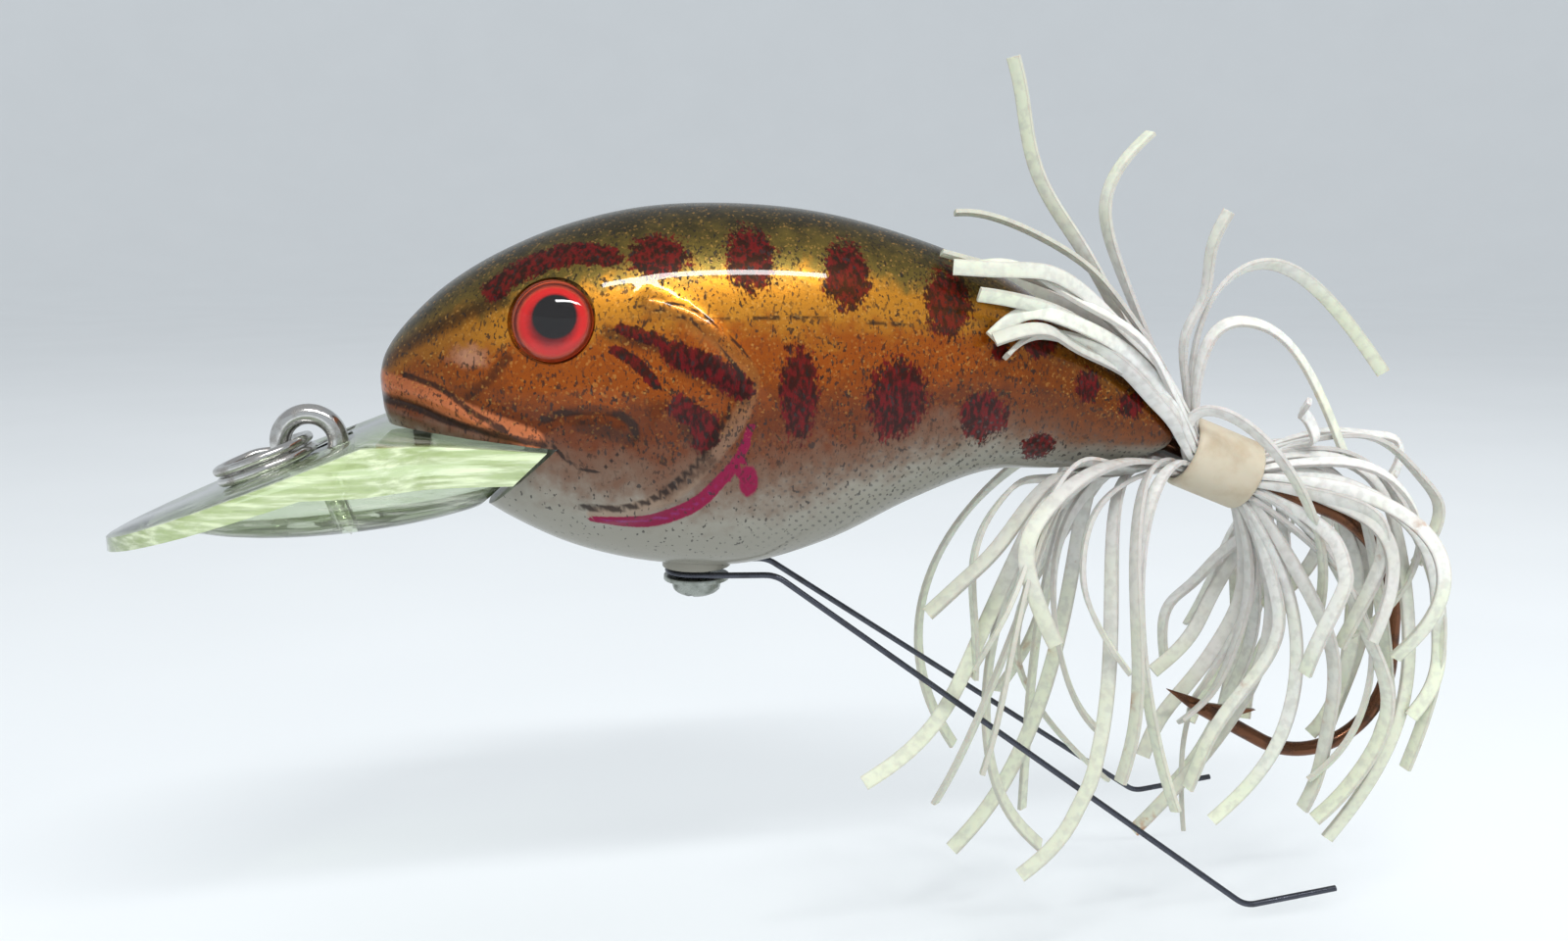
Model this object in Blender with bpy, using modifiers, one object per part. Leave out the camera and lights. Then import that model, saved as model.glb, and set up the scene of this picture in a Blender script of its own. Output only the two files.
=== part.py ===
"""Deep-diving crankbait with a belly weed guard and a skirted single tail hook.

Metres, +Z up. The tail points along +X and the lure's left side faces -Y.
The origin is the centre of the line tie's loop, which the lure hangs from.
"""
import math

import bmesh
import bpy
import numpy as np
from mathutils import Matrix, Vector

MM = 0.001

# ---- driving dimensions, in millimetres ----
SEAT_GAP = 0.3            # between pieces that rest on or are cut by each other
FIT_GAP = 0.15            # between small hardware and what it sits in
SEAM_GAP = 0.1            # between the two moulded halves

BODY_LENGTH = 64.8        # nose to tail
BODY_HEIGHT = 29.0        # back to belly, at the deepest section
BODY_WIDTH = 20.0
BODY_WALL = 1.8
NOSE = (5.6, 5.0)         # x, z of the nose, from the line tie
SECTION_POWER = 2.3       # 2 is an ellipse, more is squarer
TAIL_SOLID = 11.0         # solid plastic at the tail, for the hook's pin
NOSE_SOLID = 4.0

EYE_DIAMETER = 6.3
EYE_AT = (13.5, 4.9)      # x, z of its middle, from the nose
EYE_SOCKET_DEPTH = 1.1
EYE_DISC_THICKNESS = 0.3
EYE_DOME_HEIGHT = 1.5

LIP_SLOPE = math.radians(20.5)
LIP_BELOW_TIE = 0.95      # the lip's top face, from the loop's centre
LIP_THICKNESS = 1.8
LIP_TIP_THICKNESS = 0.9
LIP_TIP_X = -15.2
LIP_HALF_WIDTH = 12.3
LIP_ROOT_HALF_WIDTH = 8.6
LIP_ROOT_BOTTOM = -2.4    # z of the root block's side faces
MOUTH_END = (13.7, -4.7)  # from the nose: where the mouth line meets the chin cut
CHIN_CUT = (8.9, -9.2)    # from the nose: the lower end of the chin cut
KEEL_LENGTH = 28.0
KEEL_WIDTH = 8.4
KEEL_DEPTH = 6.2
KEEL_AT = (2.5, -4.2)
KEEL_TILT = math.radians(5)

TIE_WIRE = 1.6
TIE_OUTER = 6.0
TIE_SHANK = 1.1
TIE_REACH = 8.0           # loop centre to screw tip
RING_WIRE = 0.75
RING_OUTER = 7.95

SCREW_X = 24.6            # belly screw, from the nose
SCREW_SHANK = 2.0
SCREW_LENGTH = 8.0
SCREW_HEAD = 4.0
SCREW_HEAD_HEIGHT = 1.3
PAD_DIAMETER = 5.6
PAD_HEIGHT = 0.3
WASHER_DIAMETER = 5.4
WASHER_THICKNESS = 0.4
BOSS_DIAMETER = 6.4

GUARD_WIRE = 0.5
GUARD_LOOP = 4.7          # centreline diameter of the loop round the screw
GUARD_ARM = 6.2           # screw to the bend where each leg starts
GUARD_ARM_SPREAD = 3.0    # half the distance between the two bends
GUARD_LEG = (37.4, -26.9) # x, z travel from that bend to the kick
GUARD_SPREAD = 12.0       # half the distance between the legs at the kick
GUARD_KICK = (7.9, 1.0)

BALLAST_DIAMETER = 7.0
BALLAST_LENGTH = 11.0
BALLAST_AT = (17.0, -7.5) # from the nose
BALL_DIAMETER = 5.0
BALL_X = 39.0             # rest place of the rattle ball, from the nose
BALL_Z = 0.4              # from the nose
BALL_TRAVEL = 3.5         # each way
RIB = 1.2

PIN_DIAMETER = 1.2
PIN_LENGTH = 5.4
PIN_FROM_TAIL = 3.0
PIN_Z = -5.4              # from the nose
HOOK_WIRE = 1.3
HOOK_EYE_HOLE = 1.7
HOOK_DROOP = math.radians(22.4)
HOOK_SHANK = 19.8         # pin to the start of the bend
HOOK_FRONT_BEND = 11.0
HOOK_BACK = 3.7
HOOK_BEND = 8.0
HOOK_POINT = 10.4
HOOK_TIP_RISE = math.radians(30)
BARB_LENGTH = 6.0
BARB_FROM_TIP = 3.0
BARB_LIFT = math.radians(20)

COLLAR_BORE = 5.1
COLLAR_WALL = 0.55
COLLAR_LENGTH = 6.4
COLLAR_FROM_PIN = 4.8

STRAND_THICKNESS = 0.36
STRAND_GAP = 0.2          # collar to outer ring of strands, and ring to ring
STRAND_FILL = 0.9         # share of its place in the ring that a strand's width takes
# outer ring first: strands in it, exit past the collar, flare at the front, flare at the rear
STRAND_RINGS = (
    (20, 0.35, math.radians(70), math.radians(34)),
    (14, 0.85, math.radians(66), math.radians(18)),
)
STRAND_FRONT = 31.0
STRAND_REAR = 27.0
STRAND_SAG = 0.030        # turn towards the ground per millimetre
STRAND_TURN = 0.6         # bend radius where a strand leaves the collar
STRAND_PASS = 1.0         # least distance from a strand's middle to a guard leg's middle
STRAND_SWAY = math.radians(2.5)  # step by which a strand that would touch a leg hangs aside

# half-sections: share of length, share of height above and below the nose, share of half-width
BODY_STATIONS = (
    (0.000, 0.000, 0.000, 0.00),
    (0.011, 0.076, -0.125, 0.27),
    (0.040, 0.160, -0.205, 0.45),
    (0.088, 0.254, -0.285, 0.64),
    (0.152, 0.338, -0.385, 0.81),
    (0.233, 0.410, -0.472, 0.93),
    (0.328, 0.455, -0.524, 0.995),
    (0.436, 0.462, -0.536, 0.99),
    (0.543, 0.436, -0.476, 0.92),
    (0.650, 0.372, -0.368, 0.79),
    (0.750, 0.284, -0.292, 0.65),
    (0.842, 0.158, -0.290, 0.52),
    (0.926, 0.010, -0.280, 0.41),
    (0.977, -0.083, -0.252, 0.32),
    (0.996, -0.132, -0.222, 0.21),
    (1.000, -0.176, -0.176, 0.00),
)

PARTS = "crankbait"
CUTTERS = "cutters"


# ---- helpers ----
def start_scene():
    for obj in list(bpy.data.objects):
        bpy.data.objects.remove(obj, do_unlink=True)
    for name in (PARTS, CUTTERS):
        collection = bpy.data.collections.new(name)
        bpy.context.scene.collection.children.link(collection)


def finish_material(name, colour, roughness, metallic=0.0, transmission=0.0):
    material = bpy.data.materials.new(name)
    material.use_nodes = True
    shader = material.node_tree.nodes["Principled BSDF"]
    shader.inputs["Base Color"].default_value = (*colour, 1.0)
    shader.inputs["Roughness"].default_value = roughness
    shader.inputs["Metallic"].default_value = metallic
    shader.inputs["Transmission Weight"].default_value = transmission
    material.diffuse_color = (*colour, 1.0)
    return material


def place(obj, material=None, smooth_angle=30):
    """Puts a finished sub-part in its collection, with its material and shading."""
    for collection in obj.users_collection:
        collection.objects.unlink(obj)
    bpy.data.collections[PARTS].objects.link(obj)
    if material:
        obj.data.materials.clear()
        obj.data.materials.append(material)
    if obj.type == "MESH":
        obj.data.shade_smooth()
        obj.data.set_sharp_from_angle(angle=math.radians(smooth_angle))
    return obj


def pivot(name, point, pieces):
    """An empty on a joint's axis, with the pieces that move about it as its children."""
    empty = bpy.data.objects.new(name, None)
    empty.location = Vector(point) * MM
    bpy.data.collections[PARTS].objects.link(empty)
    bpy.context.view_layer.update()
    for piece in pieces:
        piece.parent = empty
        piece.matrix_parent_inverse = empty.matrix_world.inverted()


def as_cutter(obj):
    for collection in obj.users_collection:
        collection.objects.unlink(obj)
    bpy.data.collections[CUTTERS].objects.link(obj)
    obj.hide_render = True
    obj.display_type = "WIRE"
    return obj


def mesh_object(name, mesh):
    obj = bpy.data.objects.new(name, mesh)
    bpy.data.collections[PARTS].objects.link(obj)
    return obj


def baked(obj):
    """The object's evaluated shape as a plain welded mesh, in world space."""
    bpy.context.view_layer.update()
    graph = bpy.context.evaluated_depsgraph_get()
    mesh = bpy.data.meshes.new_from_object(obj.evaluated_get(graph))
    mesh.transform(obj.matrix_world)
    name = obj.name
    bpy.data.objects.remove(obj, do_unlink=True)
    bm = bmesh.new()
    bm.from_mesh(mesh)
    bmesh.ops.remove_doubles(bm, verts=bm.verts, dist=0.001 * MM)
    bmesh.ops.recalc_face_normals(bm, faces=bm.faces)
    bm.to_mesh(mesh)
    bm.free()
    return mesh_object(name, mesh)


def combine(obj, other, operation):
    """Adds a Boolean with a cutter that stays in the file as a wire guide."""
    modifier = obj.modifiers.new(f"{operation.lower()}_{other.name}", "BOOLEAN")
    modifier.operation = operation
    modifier.object = as_cutter(other)
    modifier.solver = "EXACT"
    return obj


def cylinder(name, radius, length, centre, axis=(0, 0, 1), sides=32):
    mesh = bpy.data.meshes.new(name)
    bm = bmesh.new()
    bmesh.ops.create_cone(bm, cap_ends=True, segments=sides, depth=length * MM,
                          radius1=radius * MM, radius2=radius * MM)
    bm.to_mesh(mesh)
    bm.free()
    obj = mesh_object(name, mesh)
    obj.rotation_euler = Vector(axis).to_track_quat("Z", "Y").to_euler()
    obj.location = Vector(centre) * MM
    return obj


def block(name, low, high):
    mesh = bpy.data.meshes.new(name)
    bm = bmesh.new()
    bmesh.ops.create_cube(bm, size=1.0)
    low, high = Vector(low) * MM, Vector(high) * MM
    bm.transform(Matrix.Translation((low + high) / 2) @ Matrix.Diagonal((*(high - low), 1)))
    bm.to_mesh(mesh)
    bm.free()
    return mesh_object(name, mesh)


def ball(name, radii, centre, rings=16, sides=24):
    mesh = bpy.data.meshes.new(name)
    bm = bmesh.new()
    bmesh.ops.create_uvsphere(bm, u_segments=sides, v_segments=rings, radius=1.0)
    bm.transform(Matrix.Diagonal((*(Vector(radii) * MM), 1)))
    bm.to_mesh(mesh)
    bm.free()
    obj = mesh_object(name, mesh)
    obj.location = Vector(centre) * MM
    return obj


def turned(name, profile, centre=(0, 0, 0), axis=(0, 0, 1), steps=32):
    """A profile of (radius, height) points, top to bottom on the outside, turned about axis."""
    mesh = bpy.data.meshes.new(name)
    points = [(r * MM, 0, z * MM) for r, z in profile]
    closed = profile[0][0] > 0
    edges = [(i, i + 1) for i in range(len(points) - 1)]
    if closed:
        edges.append((len(points) - 1, 0))
    mesh.from_pydata(points, edges, [])
    obj = mesh_object(name, mesh)
    screw = obj.modifiers.new("turn", "SCREW")
    screw.steps = steps
    screw.render_steps = steps
    screw.use_merge_vertices = True
    screw.merge_threshold = 0.00001
    obj.rotation_euler = Vector(axis).to_track_quat("Z", "Y").to_euler()
    obj.location = Vector(centre) * MM
    return obj


def prism(name, outline, half_thickness, upright=True):
    """A flat outline with thickness: points are (x, z) when upright, else (x, y)."""
    curve = bpy.data.curves.new(name, "CURVE")
    curve.dimensions = "2D"
    curve.fill_mode = "BOTH"
    curve.extrude = half_thickness * MM
    spline = curve.splines.new("POLY")
    spline.points.add(len(outline) - 1)
    for point, (a, b) in zip(spline.points, outline):
        point.co = (a * MM, b * MM, 0, 1)
    spline.use_cyclic_u = True
    obj = bpy.data.objects.new(name, curve)
    bpy.data.collections[PARTS].objects.link(obj)
    if upright:
        obj.rotation_euler = (math.pi / 2, 0, 0)
    return baked(obj)


def wire(name, points, diameter, radii=None, closed=False):
    """A round wire through points, with filled ends; radii scale it point by point."""
    curve = bpy.data.curves.new(name, "CURVE")
    curve.dimensions = "3D"
    curve.bevel_depth = diameter / 2 * MM
    curve.bevel_resolution = 2
    curve.use_fill_caps = True
    spline = curve.splines.new("POLY")
    spline.points.add(len(points) - 1)
    for i, point in enumerate(points):
        spline.points[i].co = (*(Vector(point) * MM), 1)
        spline.points[i].radius = radii[i] if radii else 1.0
    spline.use_cyclic_u = closed
    obj = bpy.data.objects.new(name, curve)
    bpy.data.collections[PARTS].objects.link(obj)
    return obj


def loft(name, rings, first, last):
    """A closed skin through rings of points, with a pole at each end."""
    mesh = bpy.data.meshes.new(name)
    bm = bmesh.new()
    rows = [[bm.verts.new(Vector(p) * MM) for p in ring] for ring in rings]
    count = len(rows[0])
    for a, b in zip(rows, rows[1:]):
        for i in range(count):
            j = (i + 1) % count
            bm.faces.new((a[i], a[j], b[j], b[i]))
    for pole, row in ((first, rows[0]), (last, rows[-1])):
        tip = bm.verts.new(Vector(pole) * MM)
        for i in range(count):
            bm.faces.new((row[i], row[(i + 1) % count], tip))
    bmesh.ops.recalc_face_normals(bm, faces=bm.faces)
    bm.to_mesh(mesh)
    bm.free()
    return mesh_object(name, mesh)


def arc(centre, radius, start, stop, steps):
    """Points on an arc in the XZ plane; angles are from +X towards +Z."""
    return [(centre[0] + radius * math.cos(a), 0.0, centre[1] + radius * math.sin(a))
            for a in np.linspace(start, stop, steps)]


def smooth_rows(rows, per_span):
    """Catmull-Rom curve through rows of numbers, per_span points to a span."""
    rows = np.array(rows, float)
    padded = np.vstack([2 * rows[0] - rows[1], rows, 2 * rows[-1] - rows[-2]])
    out = []
    for k in range(len(rows) - 1):
        p0, p1, p2, p3 = padded[k:k + 4]
        for t in np.arange(per_span) / per_span:
            out.append(0.5 * (2 * p1 + (p2 - p0) * t + (2 * p0 - 5 * p1 + 4 * p2 - p3) * t * t
                              + (3 * p1 - p0 - 3 * p2 + p3) * t ** 3))
    out.append(rows[-1])
    return np.array(out)


# ---- the body's form ----
def body_rows(inset=0.0, per_span=2):
    """Rows of x, top z, bottom z and half-width, in millimetres, inset all round."""
    share = smooth_rows(BODY_STATIONS, per_span)
    x = NOSE[0] + share[:, 0] * BODY_LENGTH
    top = NOSE[1] + share[:, 1] * BODY_HEIGHT
    low = NOSE[1] + share[:, 2] * BODY_HEIGHT
    half = share[:, 3] * BODY_WIDTH / 2
    return np.column_stack([x, top - inset, low + inset, half - inset])


def body_at(x):
    rows = body_rows(per_span=12)
    return [np.interp(x, rows[:, 0], rows[:, k]) for k in (1, 2, 3)]


def side_at(x, z):
    """The body's half-width at x, z."""
    top, low, half = body_at(x)
    rise = abs(z - (top + low) / 2) / ((top - low) / 2)
    return half * max(0.0, 1 - rise ** SECTION_POWER) ** (1 / SECTION_POWER)


def side_normal(x, z, step=0.4):
    slope_x = (side_at(x + step, z) - side_at(x - step, z)) / (2 * step)
    slope_z = (side_at(x, z + step) - side_at(x, z - step)) / (2 * step)
    return Vector((-slope_x, 1, -slope_z)).normalized()


def body_skin(name, inset, first_x, last_x, sides=24):
    rows = [r for r in body_rows(inset) if first_x < r[0] < last_x and r[3] > 0.3]
    rings = []
    power = 2 / SECTION_POWER
    for x, top, low, half in rows:
        ring = []
        for k in range(sides):
            a = 2 * math.pi * (k + 0.5) / sides
            c, s = math.cos(a), math.sin(a)
            y = math.copysign(half * abs(c) ** power, c)
            z = (top + low) / 2 + math.copysign((top - low) / 2 * abs(s) ** power, s)
            ring.append((x, y, z))
        rings.append(ring)
    ends = [(row[0] + shift, 0, (row[1] + row[2]) / 2)
            for row, shift in ((rows[0], -0.3), (rows[-1], 0.3))]
    return loft(name, rings, *ends)


TAIL_X = NOSE[0] + BODY_LENGTH
RAMP = (math.cos(LIP_SLOPE), 0, math.sin(LIP_SLOPE))
TIE_AXIS = Vector((math.sin(LIP_SLOPE), 0, -math.cos(LIP_SLOPE)))
PIN = Vector((TAIL_X - PIN_FROM_TAIL, 0, NOSE[1] + PIN_Z))
SHANK_AXIS = Vector((math.cos(HOOK_DROOP), 0, -math.sin(HOOK_DROOP)))
SHANK_UP = Vector((math.sin(HOOK_DROOP), 0, math.cos(HOOK_DROOP)))
SIDE = Vector((0, 1, 0))


def from_nose(point):
    return NOSE[0] + point[0], NOSE[1] + point[1]


def ramp_z(x, depth=0.0):
    """Height of the lip's top face at x, or of a face that is depth below it."""
    return math.tan(LIP_SLOPE) * x - (LIP_BELOW_TIE + depth) / math.cos(LIP_SLOPE)


def mouth_outline(gap):
    """The cut in the chin that the lip's root fills, grown by gap."""
    end, chin = from_nose(MOUTH_END), from_nose(CHIN_CUT)
    front_x = NOSE[0] - 4
    below = (2 * chin[0] - end[0], 2 * chin[1] - end[1])
    return [(front_x, ramp_z(NOSE[0] + 0.8) + gap), (NOSE[0] + 0.8, ramp_z(NOSE[0] + 0.8) + gap),
            (end[0] + gap * 0.5, end[1] + gap), (end[0] + gap * 1.2, end[1]),
            (below[0] + gap * 1.2, below[1]), (front_x, below[1])]


def screw_seat():
    """x and z of the flat pad that the guard's loop is clamped against."""
    x = NOSE[0] + SCREW_X
    return x, body_at(x)[1] - PAD_HEIGHT


def guard_z():
    """Height of the guard wire's middle, where it is clamped under the belly."""
    return screw_seat()[1] - FIT_GAP - GUARD_WIRE / 2


def guard_legs():
    """The left and right leg's centrelines, each from its bend to its knee and its tip."""
    bend_x, z = screw_seat()[0] + GUARD_ARM, guard_z()
    legs = []
    for side in (-1, 1):
        start = Vector((bend_x + SEAT_GAP / 2, side * GUARD_ARM_SPREAD, z))
        knee = Vector((bend_x + GUARD_LEG[0], side * GUARD_SPREAD, z + GUARD_LEG[1]))
        legs.append((start, knee, knee + Vector((GUARD_KICK[0], 0, GUARD_KICK[1]))))
    return legs


def points_along(line, spacing=0.4):
    """Points at about that spacing along a line of straight runs."""
    points = []
    for a, b in zip(line, line[1:]):
        a, b = np.array(a), np.array(b)
        steps = max(2, int(np.linalg.norm(b - a) / spacing))
        points.append(a + (b - a) * np.linspace(0, 1, steps)[:, None])
    return np.vstack(points)


def least_distance(line, others):
    points = points_along(line)
    return min(np.linalg.norm(points[:, None] - points_along(other)[None], axis=2).min()
               for other in others)


# ---- sub-parts ----
def make_body(plastic):
    hinge_slot = HOOK_WIRE / 2 + FIT_GAP + 0.1
    eye_outer = HOOK_EYE_HOLE / 2 + HOOK_WIRE
    seat_x, seat_z = screw_seat()
    ballast = from_nose(BALLAST_AT)
    ball_x, ball_z = NOSE[0] + BALL_X, NOSE[1] + BALL_Z
    eye_x, eye_z = from_nose(EYE_AT)
    name, side = "body_left_half", -1
    half = body_skin(name, 0.0, NOSE[0], TAIL_X)

    hollow = body_skin("body_hollow", BODY_WALL, NOSE[0] + NOSE_SOLID, TAIL_X - TAIL_SOLID)
    combine(hollow, prism("hollow_mouth_wall", mouth_outline(BODY_WALL), 15), "DIFFERENCE")
    combine(hollow, cylinder("hollow_boss", BOSS_DIAMETER / 2, 2 * SCREW_LENGTH + 4,
                             (seat_x, 0, seat_z)), "DIFFERENCE")
    combine(hollow, cylinder("hollow_cradle", BALLAST_DIAMETER / 2 + SEAT_GAP + RIB, 30,
                             (ballast[0], 0, ballast[1]), (0, 1, 0)), "DIFFERENCE")
    reach = BALL_TRAVEL + BALL_DIAMETER / 2 + SEAT_GAP
    floor = ball_z - BALL_DIAMETER / 2 - SEAT_GAP
    for tag, first, last, top in (
        ("front_rib", -reach - RIB, -reach, ball_z + BALL_DIAMETER),
        ("rear_rib", reach, reach + RIB, ball_z + BALL_DIAMETER),
        ("shelf", -reach, reach, floor),
    ):
        rib = block(f"hollow_{tag}", (ball_x + first, -15, floor - RIB), (ball_x + last, 15, top))
        combine(hollow, rib, "DIFFERENCE")

    combine(half, cylinder("body_pad", PAD_DIAMETER / 2, PAD_HEIGHT + 2.0,
                           (seat_x, 0, seat_z + PAD_HEIGHT / 2 + 1.0)), "UNION")
    combine(half, baked(hollow), "DIFFERENCE")
    combine(half, cylinder("body_pocket", BALLAST_DIAMETER / 2 + SEAT_GAP,
                           BALLAST_LENGTH + 2 * SEAT_GAP, (ballast[0], 0, ballast[1]),
                           (0, 1, 0)), "DIFFERENCE")
    combine(half, cylinder("body_screw_hole", SCREW_SHANK / 2 + SEAT_GAP, 2 * (SCREW_LENGTH + 1),
                           (seat_x, 0, seat_z)), "DIFFERENCE")
    combine(half, prism("body_mouth", mouth_outline(0), 30), "DIFFERENCE")

    out = side_normal(eye_x, eye_z)
    out.y *= side
    rim = Vector((eye_x, side * side_at(eye_x, eye_z), eye_z))
    socket_length = 8.0
    combine(half, cylinder("body_eye_socket", EYE_DIAMETER / 2 + FIT_GAP, socket_length,
                           rim + out * (socket_length / 2 - EYE_SOCKET_DEPTH), out), "DIFFERENCE")

    slot_front = PIN.x - eye_outer - SEAT_GAP
    slot_top = PIN.z + eye_outer + SEAT_GAP
    combine(half, block("body_tail_slot", (slot_front, -hinge_slot, PIN.z - 20),
                        (TAIL_X + 5, hinge_slot, slot_top)), "DIFFERENCE")
    combine(half, cylinder("body_pin_hole", PIN_DIAMETER / 2 + FIT_GAP,
                           PIN_LENGTH + 2 * FIT_GAP, PIN, (0, 1, 0), 20), "DIFFERENCE")
    combine(half, block("body_side", (-60, -30, -60), (120, -SEAM_GAP / 2, 60)), "INTERSECT")
    half = place(baked(half), plastic)

    other = mesh_object("body_right_half", half.data.copy())
    other.data.transform(Matrix.Diagonal((1, -1, 1, 1)))
    other.data.flip_normals()
    place(other, plastic)


def make_eyes(print_foil, dome_plastic):
    x, z = from_nose(EYE_AT)
    disc_radius = EYE_DIAMETER / 2 - 0.1
    disc_low = -EYE_SOCKET_DEPTH + FIT_GAP
    dome_low = disc_low + EYE_DISC_THICKNESS + FIT_GAP
    for side, tag in ((-1, "left"), (1, "right")):
        out = side_normal(x, z)
        out.y *= side
        rim = Vector((x, side * side_at(x, z), z))
        disc = turned(f"eye_disc_{tag}", [(0, disc_low + EYE_DISC_THICKNESS),
                                          (disc_radius, disc_low + EYE_DISC_THICKNESS),
                                          (disc_radius, disc_low), (0, disc_low)], rim, out)
        place(disc, print_foil)
        rise = [(disc_radius * math.cos(a), dome_low + 0.3 + (EYE_DOME_HEIGHT - 0.3) * math.sin(a))
                for a in np.linspace(math.pi / 2, 0, 7)]
        rise[0] = (0, rise[0][1])
        place(turned(f"eye_dome_{tag}", rise + [(disc_radius, dome_low), (0, dome_low)],
                     rim, out), dome_plastic)


def make_lip(clear_plastic):
    root_x = from_nose(MOUTH_END)[0]
    plan = smooth_rows([
        (LIP_TIP_X, 0.0), (LIP_TIP_X + 0.4, 2.6), (LIP_TIP_X + 1.6, 5.2),
        (LIP_TIP_X + 4.2, 0.67 * LIP_HALF_WIDTH), (LIP_TIP_X + 8.4, 0.89 * LIP_HALF_WIDTH),
        (LIP_TIP_X + 13.4, 0.99 * LIP_HALF_WIDTH), (LIP_TIP_X + 17.6, LIP_HALF_WIDTH),
        (LIP_TIP_X + 21.0, 0.95 * LIP_HALF_WIDTH), (LIP_TIP_X + 24.0, LIP_ROOT_HALF_WIDTH + 0.9),
        (LIP_TIP_X + 27.0, LIP_ROOT_HALF_WIDTH), (root_x + 1.0, LIP_ROOT_HALF_WIDTH)], 3)
    outline = [tuple(p) for p in plan] + [(p[0], -p[1]) for p in plan[:0:-1]]
    lip = prism("diving_lip", outline, 30, upright=False)

    mouth_x = NOSE[0] + 0.8
    end, chin = from_nose(MOUTH_END), from_nose(CHIN_CUT)
    cut_slope = (end[0] - chin[0]) / (end[1] - chin[1])
    cut_gap = SEAT_GAP * math.hypot(1, cut_slope)

    def root_end(z):
        return end[0] + (z - end[1]) * cut_slope - cut_gap

    flat_x = (LIP_ROOT_BOTTOM - ramp_z(0, LIP_THICKNESS)) / math.tan(LIP_SLOPE)
    under_nose = ramp_z(mouth_x) - SEAT_GAP
    side_face = [(LIP_TIP_X - 1, ramp_z(LIP_TIP_X - 1)),
                 (mouth_x - SEAT_GAP / math.tan(LIP_SLOPE), under_nose), (mouth_x, under_nose),
                 (root_end(end[1] - SEAT_GAP), end[1] - SEAT_GAP),
                 (root_end(LIP_ROOT_BOTTOM), LIP_ROOT_BOTTOM),
                 (flat_x, LIP_ROOT_BOTTOM), (LIP_TIP_X - 1, ramp_z(LIP_TIP_X - 1, LIP_TIP_THICKNESS))]
    combine(lip, prism("lip_side_face", side_face, 20), "INTERSECT")

    keel = ball("lip_keel", (KEEL_LENGTH / 2, KEEL_WIDTH / 2, KEEL_DEPTH / 2),
                (KEEL_AT[0], 0, KEEL_AT[1]))
    keel.rotation_euler = (0, -KEEL_TILT, 0)
    behind = [(root_end(end[1] + 10), end[1] + 10), (root_end(end[1] - 20), end[1] - 20),
              (end[0] + 20, end[1] - 20), (end[0] + 20, end[1] + 10)]
    combine(keel, prism("lip_keel_end", behind, 20), "DIFFERENCE")
    above = [(-30, ramp_z(-30) - 0.5), (mouth_x, ramp_z(mouth_x) - 0.5),
             (end[0], end[1] - 1.0), (end[0], 20), (-30, 20)]
    combine(keel, prism("lip_keel_top", above, 20), "DIFFERENCE")
    combine(lip, baked(keel), "UNION")

    combine(lip, cylinder("lip_tie_pocket", TIE_OUTER / 2 + SEAT_GAP, TIE_WIRE + 2 * SEAT_GAP,
                          (0, 0, 0), (0, 1, 0), 36), "DIFFERENCE")
    combine(lip, cylinder("lip_tie_hole", TIE_SHANK / 2 + SEAT_GAP, 16,
                          TIE_AXIS * (TIE_OUTER / 2 + 8), TIE_AXIS, 20), "DIFFERENCE")
    return place(lip, clear_plastic)


def thread_profile(radius, start, stop, pitch, depth):
    """Ridges of a screw thread, from start down to stop."""
    turns = max(1, int((start - stop) / pitch))
    points = []
    for k in range(turns):
        z = start - (start - stop) * k / turns
        step = (start - stop) / turns
        points += [(radius - depth, z), (radius - depth, z - 0.35 * step), (radius, z - 0.7 * step)]
    return points + [(radius - depth, stop)]


def make_line_tie(steel):
    centre_radius = (TIE_OUTER - TIE_WIRE) / 2
    turn = 2 * math.pi
    ring = wire("line_tie_screw_eye", arc((0, 0), centre_radius, 0, turn * 23 / 24, 24),
                TIE_WIRE, closed=True)
    loop = baked(ring)
    shank = turned("line_tie_shank", [(0, -centre_radius)]
                   + thread_profile(TIE_SHANK / 2, -centre_radius, -TIE_REACH + 1.0, 0.65, 0.14)
                   + [(0, -TIE_REACH)], (0, 0, 0), -TIE_AXIS, 16)
    combine(loop, baked(shank), "UNION")
    return place(loop, steel)


def make_split_ring(steel):
    """Two flat turns of wire, with one step between them, through the line tie's loop."""
    radius = (RING_OUTER - RING_WIRE) / 2
    lift = (RING_WIRE + 0.1) / 2
    ease = 0.5
    points = []
    for a in np.linspace(0.06, 4 * math.pi - 0.06, 49):
        t = np.clip((a - 2 * math.pi + ease) / (2 * ease), 0, 1)
        level = lift * (2 * t * t * (3 - 2 * t) - 1)
        turn = a + math.pi / 2
        flat = Vector((math.cos(turn), math.sin(turn), 0)) * radius
        points.append(flat + Vector((0, 0, level)))
    ring = wire("split_ring", points, RING_WIRE)
    ring.rotation_euler = (0, -LIP_SLOPE, 0)
    ring.location = -Vector(RAMP) * radius * MM
    return place(baked(ring), steel)


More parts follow.
